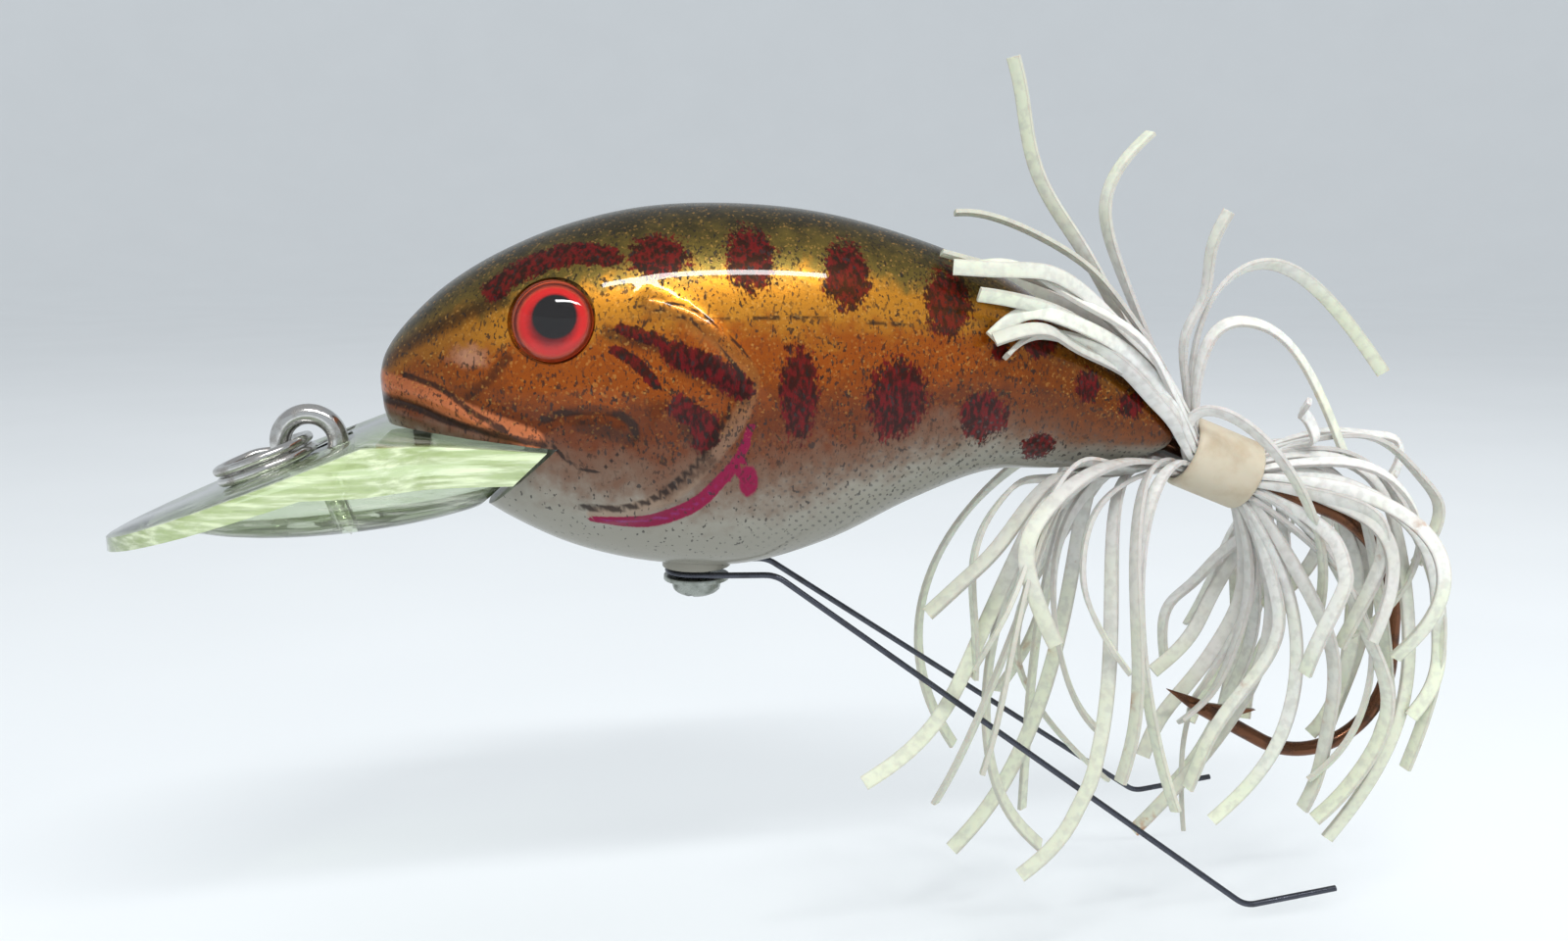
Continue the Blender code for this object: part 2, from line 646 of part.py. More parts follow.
def make_belly_hardware(steel, dark_steel):
    seat_x, seat_z = screw_seat()
    wire_z = guard_z()
    washer_top = wire_z - GUARD_WIRE / 2 - FIT_GAP
    hole = SCREW_SHANK / 2 + FIT_GAP
    washer = turned("belly_washer", [(WASHER_DIAMETER / 2, 0), (WASHER_DIAMETER / 2, -WASHER_THICKNESS),
                                     (hole, -WASHER_THICKNESS), (hole, 0)],
                    (seat_x, 0, washer_top))
    place(washer, steel)

    head_top = washer_top - WASHER_THICKNESS - FIT_GAP
    shank_top = seat_z + SCREW_LENGTH - head_top
    dome = [(SCREW_HEAD / 2 * math.cos(a), -0.4 - (SCREW_HEAD_HEIGHT - 0.4) * math.sin(a))
            for a in np.linspace(0, math.pi / 2, 6)]
    dome[-1] = (0, dome[-1][1])
    profile = ([(0, shank_top), (SCREW_SHANK / 2 - 0.3, shank_top - 1.0)]
               + thread_profile(SCREW_SHANK / 2, shank_top - 1.0, 2.4, 1.2, 0.2)
               + [(SCREW_SHANK / 2, 2.2), (SCREW_SHANK / 2, 0), (SCREW_HEAD / 2, 0)] + dome)
    screw = turned("belly_screw", profile, (seat_x, 0, head_top), steps=20)
    slot = block("belly_screw_slot", (-0.25, -4, -SCREW_HEAD_HEIGHT - 1),
                 (0.25, 4, -SCREW_HEAD_HEIGHT + 0.6))
    slot.location = (seat_x * MM, 0, head_top * MM)
    slot.rotation_euler = (0, 0, math.radians(-28))
    screw = baked(screw)
    combine(screw, slot, "DIFFERENCE")
    place(screw, steel)

    legs = guard_legs()
    bend_x = seat_x + GUARD_ARM
    loop = [(seat_x + GUARD_LOOP / 2 * math.cos(a), GUARD_LOOP / 2 * math.sin(a), wire_z)
            for a in np.linspace(math.pi / 2, 3 * math.pi / 2, 13)]
    arms = ([(bend_x - SEAT_GAP / 2, GUARD_ARM_SPREAD, wire_z)] + loop
            + [(bend_x - SEAT_GAP / 2, -GUARD_ARM_SPREAD, wire_z)])
    place(wire("guard_loop", arms, GUARD_WIRE), dark_steel)
    for (start, knee, tip), side, tag in zip(legs, (-1, 1), ("left", "right")):
        before, after = knee.lerp(start, 0.02), knee.lerp(tip, 0.1)
        leg = wire(f"guard_leg_{tag}", [start, before, knee.lerp((before + after) / 2, 0.4), after, tip],
                   GUARD_WIRE)
        pivot(f"guard_pivot_{tag}", (bend_x, side * GUARD_ARM_SPREAD, wire_z),
              [place(leg, dark_steel)])


def make_internals(lead, steel):
    x, z = from_nose(BALLAST_AT)
    slug = turned("ballast_weight", [(0, BALLAST_LENGTH / 2),
                                     (BALLAST_DIAMETER / 2 - 0.6, BALLAST_LENGTH / 2),
                                     (BALLAST_DIAMETER / 2, BALLAST_LENGTH / 2 - 0.6),
                                     (BALLAST_DIAMETER / 2, 0.6 - BALLAST_LENGTH / 2),
                                     (BALLAST_DIAMETER / 2 - 0.6, -BALLAST_LENGTH / 2),
                                     (0, -BALLAST_LENGTH / 2)], (x, 0, z), (0, 1, 0), 24)
    place(slug, lead)
    place(ball("rattle_ball", [BALL_DIAMETER / 2] * 3, (NOSE[0] + BALL_X, 0, NOSE[1] + BALL_Z),
               10, 16), steel)
    place(cylinder("tail_pin", PIN_DIAMETER / 2, PIN_LENGTH, PIN, (0, 1, 0), 20), steel)


def hook_path():
    """The hook's centreline from its eye to its point, in the XZ plane, with wire scale."""
    eye = (HOOK_EYE_HOLE + HOOK_WIRE) / 2
    heading = -HOOK_DROOP
    eye_end = heading - math.radians(38)
    eye_start = eye_end - 2 * math.pi + math.radians(46)
    points = [tuple(PIN + Vector(p)) for p in arc((0, 0), eye, eye_start, eye_end, 16)]
    neck = PIN + SHANK_AXIS * (eye + 1.6)
    points.append(tuple(neck))
    place_now = PIN + SHANK_AXIS * HOOK_SHANK
    points.append(tuple(place_now))
    for radius, turn, run in ((HOOK_FRONT_BEND, math.pi / 2 - HOOK_DROOP, HOOK_BACK),
                              (HOOK_BEND, math.pi / 2 + HOOK_TIP_RISE, 0)):
        steps = 9
        for _ in range(steps):
            step = turn / steps
            heading -= step / 2
            chord = 2 * radius * math.sin(step / 2)
            place_now = place_now + Vector((math.cos(heading), 0, math.sin(heading))) * chord
            heading -= step / 2
            points.append(tuple(place_now))
        if run:
            place_now = place_now + Vector((math.cos(heading), 0, math.sin(heading))) * run
            points.append(tuple(place_now))
    along = Vector((math.cos(heading), 0, math.sin(heading)))
    taper_from = HOOK_POINT - BARB_FROM_TIP - 1.0
    points += [tuple(place_now + along * taper_from), tuple(place_now + along * HOOK_POINT)]
    scale = [1.0] * (len(points) - 1) + [0.08]
    return points, scale, place_now + along * HOOK_POINT, heading


def make_hook(bronze):
    points, scale, tip, heading = hook_path()
    hook = baked(wire("hook", points, HOOK_WIRE, scale))
    back = Vector((-math.cos(heading), 0, -math.sin(heading)))
    inward = Vector((back.z, 0, -back.x))
    if inward.dot(PIN - tip) < 0:
        inward.negate()
    root = tip + back * BARB_FROM_TIP
    lift = back * math.cos(BARB_LIFT) + inward * math.sin(BARB_LIFT)
    outline = [root - back * 0.6, root + lift * BARB_LENGTH,
               root + back * (BARB_LENGTH * 0.55) + inward * 0.1, root + back * 1.0]
    barb = prism("hook_barb", [(p.x, p.z) for p in outline], 0.2)
    combine(hook, barb, "UNION")
    return place(hook, bronze)


def make_collar(rubber):
    edge = 0.45 * COLLAR_WALL
    bore = COLLAR_BORE / 2
    outer = bore + COLLAR_WALL
    profile = [(outer - edge, COLLAR_LENGTH), (outer, COLLAR_LENGTH - edge), (outer, edge),
               (outer - edge, 0), (bore, 0), (bore, COLLAR_LENGTH)]
    collar = turned("skirt_collar", profile, PIN + SHANK_AXIS * COLLAR_FROM_PIN, SHANK_AXIS, 36)
    return place(collar, rubber)


def strand_end(start, along, outward, exit_run, flare, length, sway=0.0):
    """Centreline of one strand end: straight out, a turn outward, then a sag under gravity.

    Past the turn it may sway aside, about the collar's axis.
    """
    points = [start + along * exit_run]
    heading = along.copy()
    spin = along.cross(outward).normalized()
    turns = 2
    for _ in range(turns):
        step = flare / turns
        heading.rotate(Matrix.Rotation(step / 2, 3, spin))
        points.append(points[-1] + heading * (2 * STRAND_TURN * math.sin(step / 2)))
        heading.rotate(Matrix.Rotation(step / 2, 3, spin))
    heading.rotate(Matrix.Rotation(sway, 3, along))
    runs = 6
    down = Vector((0, 0, -1))
    for _ in range(runs):
        step = length / runs
        heading = (heading + (down - heading * heading.dot(down)) * STRAND_SAG * step).normalized()
        points.append(points[-1] + heading * step)
    return points


def hang_clear(legs, *shape):
    """The strand end of that shape, swayed by the smallest step that clears the guard's legs."""
    line = strand_end(*shape)
    step = 0
    while least_distance(line, legs) < STRAND_PASS:
        step = -step if step > 0 else 1 - step
        line = strand_end(*shape, sway=step * STRAND_SWAY)
    return line


def make_strands(rubber):
    """Flat rubber strands, each one piece that runs through the collar and out at both ends."""
    front = PIN + SHANK_AXIS * COLLAR_FROM_PIN
    rear = front + SHANK_AXIS * COLLAR_LENGTH
    legs = guard_legs()
    number = 0
    strands = []
    for ring, (count, exit_run, front_flare, rear_flare) in enumerate(STRAND_RINGS):
        radius = (COLLAR_BORE / 2 - STRAND_GAP - STRAND_THICKNESS / 2
                  - ring * (STRAND_THICKNESS + STRAND_GAP))
        width = STRAND_FILL * 2 * math.pi * (radius - STRAND_THICKNESS / 2) / count
        for i in range(count):
            number += 1
            turn = 2 * math.pi * (i + 0.5) / count
            outward = SHANK_UP * math.cos(turn) + SIDE * math.sin(turn)
            vary = math.sin(number * 2.4)
            ends = [hang_clear(legs, base + outward * radius, way, outward, exit_run, flare,
                               length * (1 + 0.14 * vary))
                    for base, way, flare, length in
                    ((front, -SHANK_AXIS, front_flare, STRAND_FRONT),
                     (rear, SHANK_AXIS, rear_flare, STRAND_REAR))]
            path = ends[0][::-1] + ends[1]
            across = SHANK_AXIS.cross(outward).normalized()
            rings = []
            for k, point in enumerate(path):
                before, after = path[max(k - 1, 0)], path[min(k + 1, len(path) - 1)]
                run = (after - before).normalized()
                wide = (across - run * across.dot(run)).normalized()
                thick = run.cross(wide)
                rings.append([point + wide * (a * width / 2) + thick * (b * STRAND_THICKNESS / 2)
                              for a, b in ((-1, -1), (1, -1), (1, 1), (-1, 1))])
            tips = [path[0] + (path[0] - path[1]).normalized() * 0.05,
                    path[-1] + (path[-1] - path[-2]).normalized() * 0.05]
            strands.append(place(loft(f"skirt_strand_{number:02d}", rings, *tips), rubber))
    return strands


def main():
    start_scene()
    make_body(finish_material("painted_body", (0.20, 0.09, 0.03), 0.25, 0.3))
    make_eyes(finish_material("eye_foil", (0.55, 0.06, 0.03), 0.3, 0.5),
              finish_material("eye_dome", (0.9, 0.5, 0.4), 0.03, 0.0, 0.9))
    make_lip(finish_material("clear_lip", (0.75, 0.9, 0.7), 0.05, 0.0, 0.9))
    nickel = finish_material("nickel_steel", (0.55, 0.56, 0.58), 0.2, 1.0)
    make_line_tie(nickel)
    make_split_ring(nickel)
    make_belly_hardware(finish_material("zinc_steel", (0.45, 0.46, 0.44), 0.3, 1.0),
                        finish_material("guard_wire", (0.03, 0.035, 0.05), 0.3, 0.9))
    make_internals(finish_material("ballast_lead", (0.25, 0.25, 0.27), 0.5, 0.9), nickel)
    hook = make_hook(finish_material("bronzed_hook", (0.05, 0.025, 0.015), 0.3, 0.8))
    collar = make_collar(finish_material("collar_rubber", (0.72, 0.66, 0.5), 0.55))
    strands = make_strands(finish_material("strand_rubber", (0.75, 0.76, 0.68), 0.6))
    pivot("hook_pivot", PIN, [hook, collar, *strands])


main()
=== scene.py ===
"""Looks of a skirted deep-diving crankbait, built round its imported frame."""
import math
import random

import bmesh
import bpy
import numpy as np
from mathutils import Matrix, Vector


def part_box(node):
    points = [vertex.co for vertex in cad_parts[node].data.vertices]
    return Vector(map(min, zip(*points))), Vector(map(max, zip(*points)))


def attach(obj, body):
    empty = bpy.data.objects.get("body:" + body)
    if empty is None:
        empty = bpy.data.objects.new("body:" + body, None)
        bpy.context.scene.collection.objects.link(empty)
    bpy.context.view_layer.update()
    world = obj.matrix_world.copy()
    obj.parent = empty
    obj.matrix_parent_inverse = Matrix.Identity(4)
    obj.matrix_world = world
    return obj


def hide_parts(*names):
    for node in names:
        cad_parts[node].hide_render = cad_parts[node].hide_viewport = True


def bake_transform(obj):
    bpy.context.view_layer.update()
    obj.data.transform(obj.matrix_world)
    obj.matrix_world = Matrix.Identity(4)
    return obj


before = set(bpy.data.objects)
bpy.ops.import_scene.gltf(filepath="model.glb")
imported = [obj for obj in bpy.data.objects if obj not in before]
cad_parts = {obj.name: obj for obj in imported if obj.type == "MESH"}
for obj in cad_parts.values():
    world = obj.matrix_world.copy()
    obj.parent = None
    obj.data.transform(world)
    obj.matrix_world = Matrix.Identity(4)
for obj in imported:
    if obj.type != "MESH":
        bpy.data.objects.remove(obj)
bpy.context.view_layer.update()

MM = 0.001
LURE = "lure"
HOOK = "skirted_hook"

# ---- the body's form, in millimetres ----
BODY_LENGTH = 64.8
BODY_HEIGHT = 29.0
BODY_WIDTH = 20.0
BODY_WALL = 1.8
NOSE = (5.6, 5.0)
SECTION_POWER = 2.3
SEAM_GAP = 0.1
BODY_STATIONS = (
    (0.000, 0.000, 0.000, 0.00), (0.011, 0.076, -0.125, 0.27), (0.040, 0.160, -0.205, 0.45),
    (0.088, 0.254, -0.285, 0.64), (0.152, 0.338, -0.385, 0.81), (0.233, 0.410, -0.472, 0.93),
    (0.328, 0.455, -0.524, 0.995), (0.436, 0.462, -0.536, 0.99), (0.543, 0.436, -0.476, 0.92),
    (0.650, 0.372, -0.368, 0.79), (0.750, 0.284, -0.292, 0.65), (0.842, 0.158, -0.290, 0.52),
    (0.926, 0.010, -0.280, 0.41), (0.977, -0.083, -0.252, 0.32), (0.996, -0.132, -0.222, 0.21),
    (1.000, -0.176, -0.176, 0.00),
)
SCREW_X = 30.2
BALLAST_AT = (22.6, 0, -2.5)
HOOK_PIN = Vector((67.4, 0, -0.4))
LIP_SLOPE = math.radians(20.5)
MOUTH_CUT = ((1.6, 1.62), (6.4, 1.62), (19.3, 0.3), (14.5, -4.2), (9.7, -8.7), (1.6, -8.7))

# ---- lines moulded and painted on the flanks: x, z ----
GILL_RIDGE = ((26.3, 10.9), (28.9, 10.1), (31.7, 8.0), (33.6, 5.6), (32.6, 2.4), (30.5, -0.4), (27.9, -3.0),
              (24.8, -4.5), (22.0, -4.9))
CHEEK_RIDGE = ((27.0, 8.6), (27.8, 6.6), (27.9, 4.5), (26.9, 2.2), (25.8, 0.0))
UPPER_LIP = ((6.0, 5.0), (9.3, 4.3), (13.0, 2.8), (17.6, 1.1))
LOWER_LIP = ((6.4, 3.0), (9.3, 2.3), (13.0, 1.3))
MOUTH_TOP = ((8.0, 5.6), (10.8, 4.7), (13.1, 3.1), (15.4, 1.9))
MOUTH_LINE = ((6.2, 3.6), (8.9, 3.1), (11.2, 2.3), (15.0, 1.35), (18.4, 0.7))
CHEEK_ARC = ((18.3, 2.5), (19.9, 3.1), (21.9, 3.3), (23.6, 3.1), (24.9, 2.2), (25.1, 1.3))
# dark lines: line, half-width
DRAWN = (
    (MOUTH_TOP, 0.24), (MOUTH_LINE, 0.30), (CHEEK_ARC, 0.36),
    (((25.1, 1.3), (24.2, 0.5), (23.4, -0.4), (22.7, -1.2)), 0.15),
    (((18.9, 0.8), (19.8, -0.3), (20.9, -1.1), (22.3, -1.4)), 0.15),
    (((32.0, 3.0), (31.1, 1.5), (29.8, -0.5), (28.0, -2.3), (26.2, -3.6), (24.0, -4.3),
      (21.0, -4.3)), 0.30),
    (((25.5, 10.9), (27.9, 10.3), (29.7, 9.5), (31.4, 7.7), (32.9, 5.9), (33.0, 4.8), (31.9, 3.2)), 0.17),
    (((27.4, 11.2), (29.9, 10.4), (32.4, 8.3), (34.4, 6.2)), 0.14),
    (((34.3, 3.4), (36.0, 0.6)), 0.12), (((33.4, 2.0), (34.6, -0.3)), 0.10),
)
# soft dark bands: line, half-width
SHADED = (
    (((6.5, 6.4), (8.4, 7.9), (10.4, 9.0), (13.3, 10.4), (15.5, 11.3)), 0.75),
    (((15.9, 7.2), (14.6, 5.6), (12.9, 4.2)), 0.5), (((28.6, 6.8), (31.2, 5.6), (33.0, 4.6)), 1.2),
    (((29.0, 2.2), (30.0, 0.6)), 1.0), (((21.0, 2.2), (24.6, 1.2)), 0.7),
    (((23.2, 8.9), (27.0, 7.9)), 0.7), (((30.6, -0.6), (27.0, -3.2)), 0.6),
)
LATERAL_LINE = ((29.9, 9.7), (34.2, 9.9), (38.7, 9.8), (43.8, 9.4), (50.3, 8.6))
FIN_CRESCENT = ((21.4, -5.15), (24.4, -5.45), (26.9, -5.2), (29.6, -4.0), (31.6, -2.0), (32.9, -0.2),
                (33.7, 2.0))
# crimson marks: x, z, half-width, half-height
MARKS = (
    (27.1, 14.4, 2.3, 1.6), (33.9, 14.2, 1.9, 2.4), (41.2, 12.9, 1.9, 2.5), (49.4, 10.8, 2.0, 2.8),
    (37.3, 4.3, 1.55, 3.6), (45.0, 3.6, 2.5, 3.1), (52.4, 1.9, 2.1, 2.0), (57.2, 7.9, 1.7, 1.6),
    (61.5, 3.9, 1.2, 1.4), (57.6, -0.9, 1.4, 1.2), (65.6, 2.2, 1.3, 1.0), (53.6, 7.0, 0.8, 0.8),
)
# crimson strokes: line, half-width
STROKES = (
    (((28.1, 7.4), (31.0, 6.1), (33.0, 4.9)), 1.05), (((28.3, 3.5), (30.3, 2.2), (30.1, 1.0)), 0.95),
    (((24.2, 9.2), (27.0, 8.4)), 0.5), (((23.7, 7.7), (25.2, 6.8), (26.6, 5.2)), 0.45),
    (((14.8, 11.9), (17.5, 13.6), (20.6, 14.6), (23.6, 14.4)), 0.8),
)
RIDGE_LIFT = 0.48
GROOVE = 0.22

# ---- skirt ----
COLLAR_FRONT = Vector((71.838, 0, -2.229))
HOOK_DROOP = math.radians(22.4)
AXIS = Vector((math.cos(HOOK_DROOP), 0, -math.sin(HOOK_DROOP)))
COLLAR_UP = Vector((math.sin(HOOK_DROOP), 0, math.cos(HOOK_DROOP)))
COLLAR_LENGTH = 6.4
STRAND_WIDTH = 1.2
STRAND_THICKNESS = 0.42
SQUEEZED_WIDTH = 0.56
# how far strands' middle lines are pushed from the body's skin and from the wires' middle lines
BODY_CLEARANCE = 0.95
HOOK_CLEARANCE = 1.4
GUARD_CLEARANCE = 1.05
# strand tips in front of the collar: x, y, z, and the heading there
OVER_TAIL = (
    ((48.6, -5.6, 15.2), (-1, 0, 0.25)), ((49.8, -6.6, 13.2), (-1, 0, 0.05)),
    ((51.4, -1.5, 17.4), (-1, 0, 0.05)), ((51.3, -7.2, 11.9), (-1, 0, -0.25)),
    ((51.2, -7.4, 10.8), (-1, 0, -0.1)), ((51.0, -7.8, 8.5), (-1, 0, -0.7)),
    ((52.3, -7.4, 7.4), (-1, 0, -0.4)), ((54.3, -6.9, 6.4), (-0.8, 0, -0.9)),
    ((52.8, 6.6, 12.4), (-1, 0.1, 0)), ((50.6, 7.4, 9.8), (-1, 0.1, -0.2)),
)
UPRIGHT = (
    ((54.8, 2.0, 29.0), (-0.35, 0, 1)), ((68.9, 3.0, 24.4), (0.9, 0, 0.45)),
    ((73.9, -1.0, 17.6), (0.05, 0, 1)),
)
DROOPING = (
    ((47.9, -9.0, -15.1), (-0.8, 0, -0.7)), ((50.7, -12.0, -17.4), (-0.5, 0, -1)),
    ((51.1, -5.0, -20.3), (0.1, 0, -1)), ((50.0, -14.0, -24.0), (-0.4, 0, -1)),
    ((49.0, -10.0, -28.6), (-0.6, 0, -1)), ((43.6, -6.0, -28.6), (-1, 0, -0.4)),
    ((54.0, 3.0, -37.5), (-0.9, 0, -0.8)), ((59.5, -3.0, -37.0), (0.7, 0, -0.7)),
    ((60.6, 6.0, -36.0), (0, 0, -1)), ((68.6, 9.0, -35.0), (0.9, 0, -0.6)),
    ((55.9, -9.0, -36.0), (-0.7, 0, -0.7)), ((54.0, 10.0, -32.2), (0.6, 0, -0.9)),
    ((64.5, -8.0, -19.0), (0.9, 0, -0.6)), ((69.5, -8.5, -31.0), (0.6, 0, -1)),
    ((60.0, 13.0, -27.0), (-0.3, 0.2, -1)), ((65.5, -2.0, -27.0), (0.8, 0, -0.5)),
    ((56.5, -12.0, -15.5), (0.8, 0, -0.9)), ((62.0, -12.0, -27.0), (-0.3, 0, -1)),
)
# these leave the collar's front and fold back over it
FOLDED_BACK = (
    ((91.8, 1.0, 3.2), (0.6, 0, -0.8), 17.0), ((86.2, -2.0, -3.4), (0.4, 0, -1), 14.0),
    ((82.6, -7.0, -17.0), (-0.12, 0, -1), 13.0),
)
# strand tips behind the collar
ARCHING = (
    ((92.4, -3.0, -12.0), (-0.3, 0, -1)), ((90.4, 2.0, -5.6), (-0.9, 0, -0.7)),
    ((91.4, -6.0, -29.4), (-0.1, 0, -1)), ((84.4, -7.0, -35.0), (-0.6, 0, -1)),
    ((80.6, -5.0, 3.0), (-0.5, 0, 1)),
)
FALLING = 29

rng = random.Random(7)


# ---- shader expressions ----
class Value:
    """A shader socket that takes arithmetic: an expression on it adds its Math nodes."""

    def __init__(self, finish, socket):
        self.finish = finish
        self.socket = socket

    def math(self, operation, *values):
        return self.finish.node("ShaderNodeMath", {"operation": operation}, dict(enumerate(values)))

    def sine(self):
        return self.math("SINE", self)

    def __add__(self, other):
        return self.math("ADD", self, other)

    __radd__ = __add__

    def __sub__(self, other):
        return self.math("SUBTRACT", self, other)

    def __rsub__(self, other):
        return self.math("SUBTRACT", other, self)

    def __mul__(self, other):
        return self.math("MULTIPLY", self, other)

    __rmul__ = __mul__


class Finish:
    """A node material. Places on it are in millimetres, in the part's own frame."""

    def __init__(self, name, **constants):
        self.material = bpy.data.materials.new(name)
        self.material.use_nodes = True
        self.tree = self.material.node_tree
        self.shader = self.tree.nodes["Principled BSDF"]
        for socket, value in constants.items():
            self.shader.inputs[socket.replace("_", " ")].default_value = value
        metres = self.node("ShaderNodeTexCoord", output="Object")
        self.place = self.node("ShaderNodeVectorMath", {"operation": "SCALE"}, {0: metres, "Scale": 1 / MM})

    def node(self, kind, settings=None, sockets=None, output=0):
        made = self.tree.nodes.new(kind)
        for key, value in (settings or {}).items():
            setattr(made, key, value)
        for key, value in (sockets or {}).items():
            if isinstance(value, Value):
                self.tree.links.new(value.socket, made.inputs[key])
            else:
                made.inputs[key].default_value = value
        return Value(self, made.outputs[output])

    def set(self, **values):
        for socket, value in values.items():
            self.tree.links.new(value.socket, self.shader.inputs[socket.replace("_", " ")])

    def noise(self, scale, detail=3.0, stretch=(1, 1, 1)):
        where = self.node("ShaderNodeVectorMath", {"operation": "MULTIPLY"}, {0: self.place, 1: stretch})
        return self.node("ShaderNodeTexNoise", None, {"Vector": where, "Scale": scale, "Detail": detail})

    def cells(self, scale):
        """Small cells, each with a colour of its own."""
        return self.node("ShaderNodeTexVoronoi", None, {"Vector": self.place, "Scale": scale}, "Color")

    def step(self, value, low, high):
        """0 at low, 1 at high, smooth between."""
        return self.node("ShaderNodeMapRange", {"interpolation_type": "SMOOTHSTEP"},
                         {"Value": value, "From Min": low, "From Max": high})

    def mix(self, mask, first, second):
        colours = {6: first, 7: second}
        for key, colour in colours.items():
            if not isinstance(colour, Value):
                colours[key] = (*colour, 1.0)
        return self.node("ShaderNodeMix", {"data_type": "RGBA"}, {0: mask, **colours}, 2)

    def field(self, name):
        """A number kept on the mesh's points."""
        return self.node("ShaderNodeAttribute", {"attribute_name": name}, output="Fac")

    def bump(self, height, strength, depth):
        return self.node("ShaderNodeBump", None,
                         {"Height": height, "Strength": strength, "Distance": depth * MM})

    def clear_over(self, tint, gloss_roughness, haze=None):
        """Clear plastic: tinted see-through, glossy by Fresnel, with the shader as its haze."""
        through = self.node("ShaderNodeBsdfTransparent", None, {"Color": (*tint, 1)})
        gloss = self.node("ShaderNodeBsdfGlossy", None, {"Roughness": gloss_roughness})
        if haze is not None:
            hazed = Value(self, self.shader.outputs[0])
            through = self.node("ShaderNodeMixShader", None, {0: haze, 1: through, 2: hazed})
        edge = self.node("ShaderNodeFresnel", None, {"IOR": 1.5})
        whole = self.node("ShaderNodeMixShader", None, {0: edge, 1: through, 2: gloss})
        self.tree.links.new(whole.socket, self.tree.nodes["Material Output"].inputs["Surface"])


# ---- mesh helpers ----
def mesh_piece(name, vertices, faces, material=None, smooth_angle=35):
    mesh = bpy.data.meshes.new(name)
    mesh.from_pydata([tuple(v) for v in np.asarray(vertices) * MM], [], faces)
    obj = bpy.data.objects.new(name, mesh)
    bpy.context.scene.collection.objects.link(obj)
    bm = bmesh.new()
    bm.from_mesh(mesh)
    bmesh.ops.recalc_face_normals(bm, faces=bm.faces)
    bm.to_mesh(mesh)
    bm.free()
    if material:
        mesh.materials.append(material)
    smooth(obj, smooth_angle)
    return obj


def smooth(obj, angle=35):
    obj.data.shade_smooth()
    obj.data.set_sharp_from_angle(angle=math.radians(angle))


def settled(obj):
    """Applies the piece's modifiers."""
    bpy.context.view_layer.update()
    graph = bpy.context.evaluated_depsgraph_get()
    mesh = bpy.data.meshes.new_from_object(obj.evaluated_get(graph))
    obj.modifiers.clear()
    obj.data = mesh


def cut(obj, tool, operation="DIFFERENCE"):
    modifier = obj.modifiers.new(operation.lower(), "BOOLEAN")
    modifier.operation = operation
    modifier.object = tool
    modifier.solver = "EXACT"
    settled(obj)
    bpy.data.objects.remove(tool, do_unlink=True)


def rings_piece(name, rings, material=None, caps=True, closed=False, smooth_angle=35):
    """A skin through rings of points, with flat caps or joined end to end."""
    rings = np.asarray(rings, float)
    rows, count = rings.shape[:2]
    faces = []
    for r in range(rows if closed else rows - 1):
        a, b = r * count, (r + 1) % rows * count
        faces += [(a + i, a + (i + 1) % count, b + (i + 1) % count, b + i) for i in range(count)]
    if caps and not closed:
        faces += [tuple(range(count)), tuple(range((rows - 1) * count, rows * count))]
    return mesh_piece(name, rings.reshape(-1, 3), faces, material, smooth_angle)


def frames_along(path, wide):
    """Width and thickness directions at each point, carried along without twist."""
    path = np.asarray(path, float)
    runs = np.gradient(path, axis=0)
    runs /= np.linalg.norm(runs, axis=1)[:, None]
    wide = np.array(wide, float)
    widths = []
    for run in runs:
        wide = wide - run * (wide @ run)
        wide = wide / np.linalg.norm(wide)
        widths.append(wide)
    widths = np.array(widths)
    return widths, np.cross(runs, widths)


def round_wire(name, path, radii, material, wide, sides):
    """A round wire with flat ends along a path; wide is a direction across its start."""
    across, up = frames_along(path, wide)
    radii = np.broadcast_to(radii, len(path))
    angles = np.arange(sides) * 2 * math.pi / sides
    rings = [point + radius * (np.cos(angles)[:, None] * a + np.sin(angles)[:, None] * b)
             for point, radius, a, b in zip(np.asarray(path), radii, across, up)]
    return rings_piece(name, rings, material, smooth_angle=50)


def through(points, per_span=10):
    """Catmull-Rom curve through the points."""
    rows = np.array(points, float)
    padded = np.vstack([2 * rows[0] - rows[1], rows, 2 * rows[-1] - rows[-2]])
    out = []
    for k in range(len(rows) - 1):
        p0, p1, p2, p3 = padded[k:k + 4]
        t = (np.arange(per_span) / per_span)[:, None]
        out.append(0.5 * (2 * p1 + (p2 - p0) * t + (2 * p0 - 5 * p1 + 4 * p2 - p3) * t ** 2
                          + (3 * p1 - p0 - 3 * p2 + p3) * t ** 3))
    return np.vstack([*out, rows[-1:]])


def rounded(points, radius, steps=8):
    """Straight runs with their corners rounded."""
    points = [np.array(p, float) for p in points]
    out = [points[0]]
    for before, corner, after in zip(points, points[1:], points[2:]):
        a = corner + (before - corner) / np.linalg.norm(before - corner) * radius
        b = corner + (after - corner) / np.linalg.norm(after - corner) * radius
        out += [a * (1 - t) ** 2 + 2 * corner * t * (1 - t) + b * t * t for t in np.linspace(0, 1, steps)]
    return np.array([*out, points[-1]])


def keep_field(obj, name, values):
    attribute = obj.data.attributes.new(name, "FLOAT", "POINT")
    attribute.data.foreach_set("value", np.asarray(values, np.float32))


def points_of(obj):
    flat = np.zeros(len(obj.data.vertices) * 3, np.float32)
    obj.data.vertices.foreach_get("co", flat)
    return flat.reshape(-1, 3).astype(float) / MM


def ready(obj, body, slot, *nodes):
    """The piece rides on its body, in place of its CAD nodes."""
    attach(obj, body)
    if nodes:
        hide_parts(*nodes)
    return obj


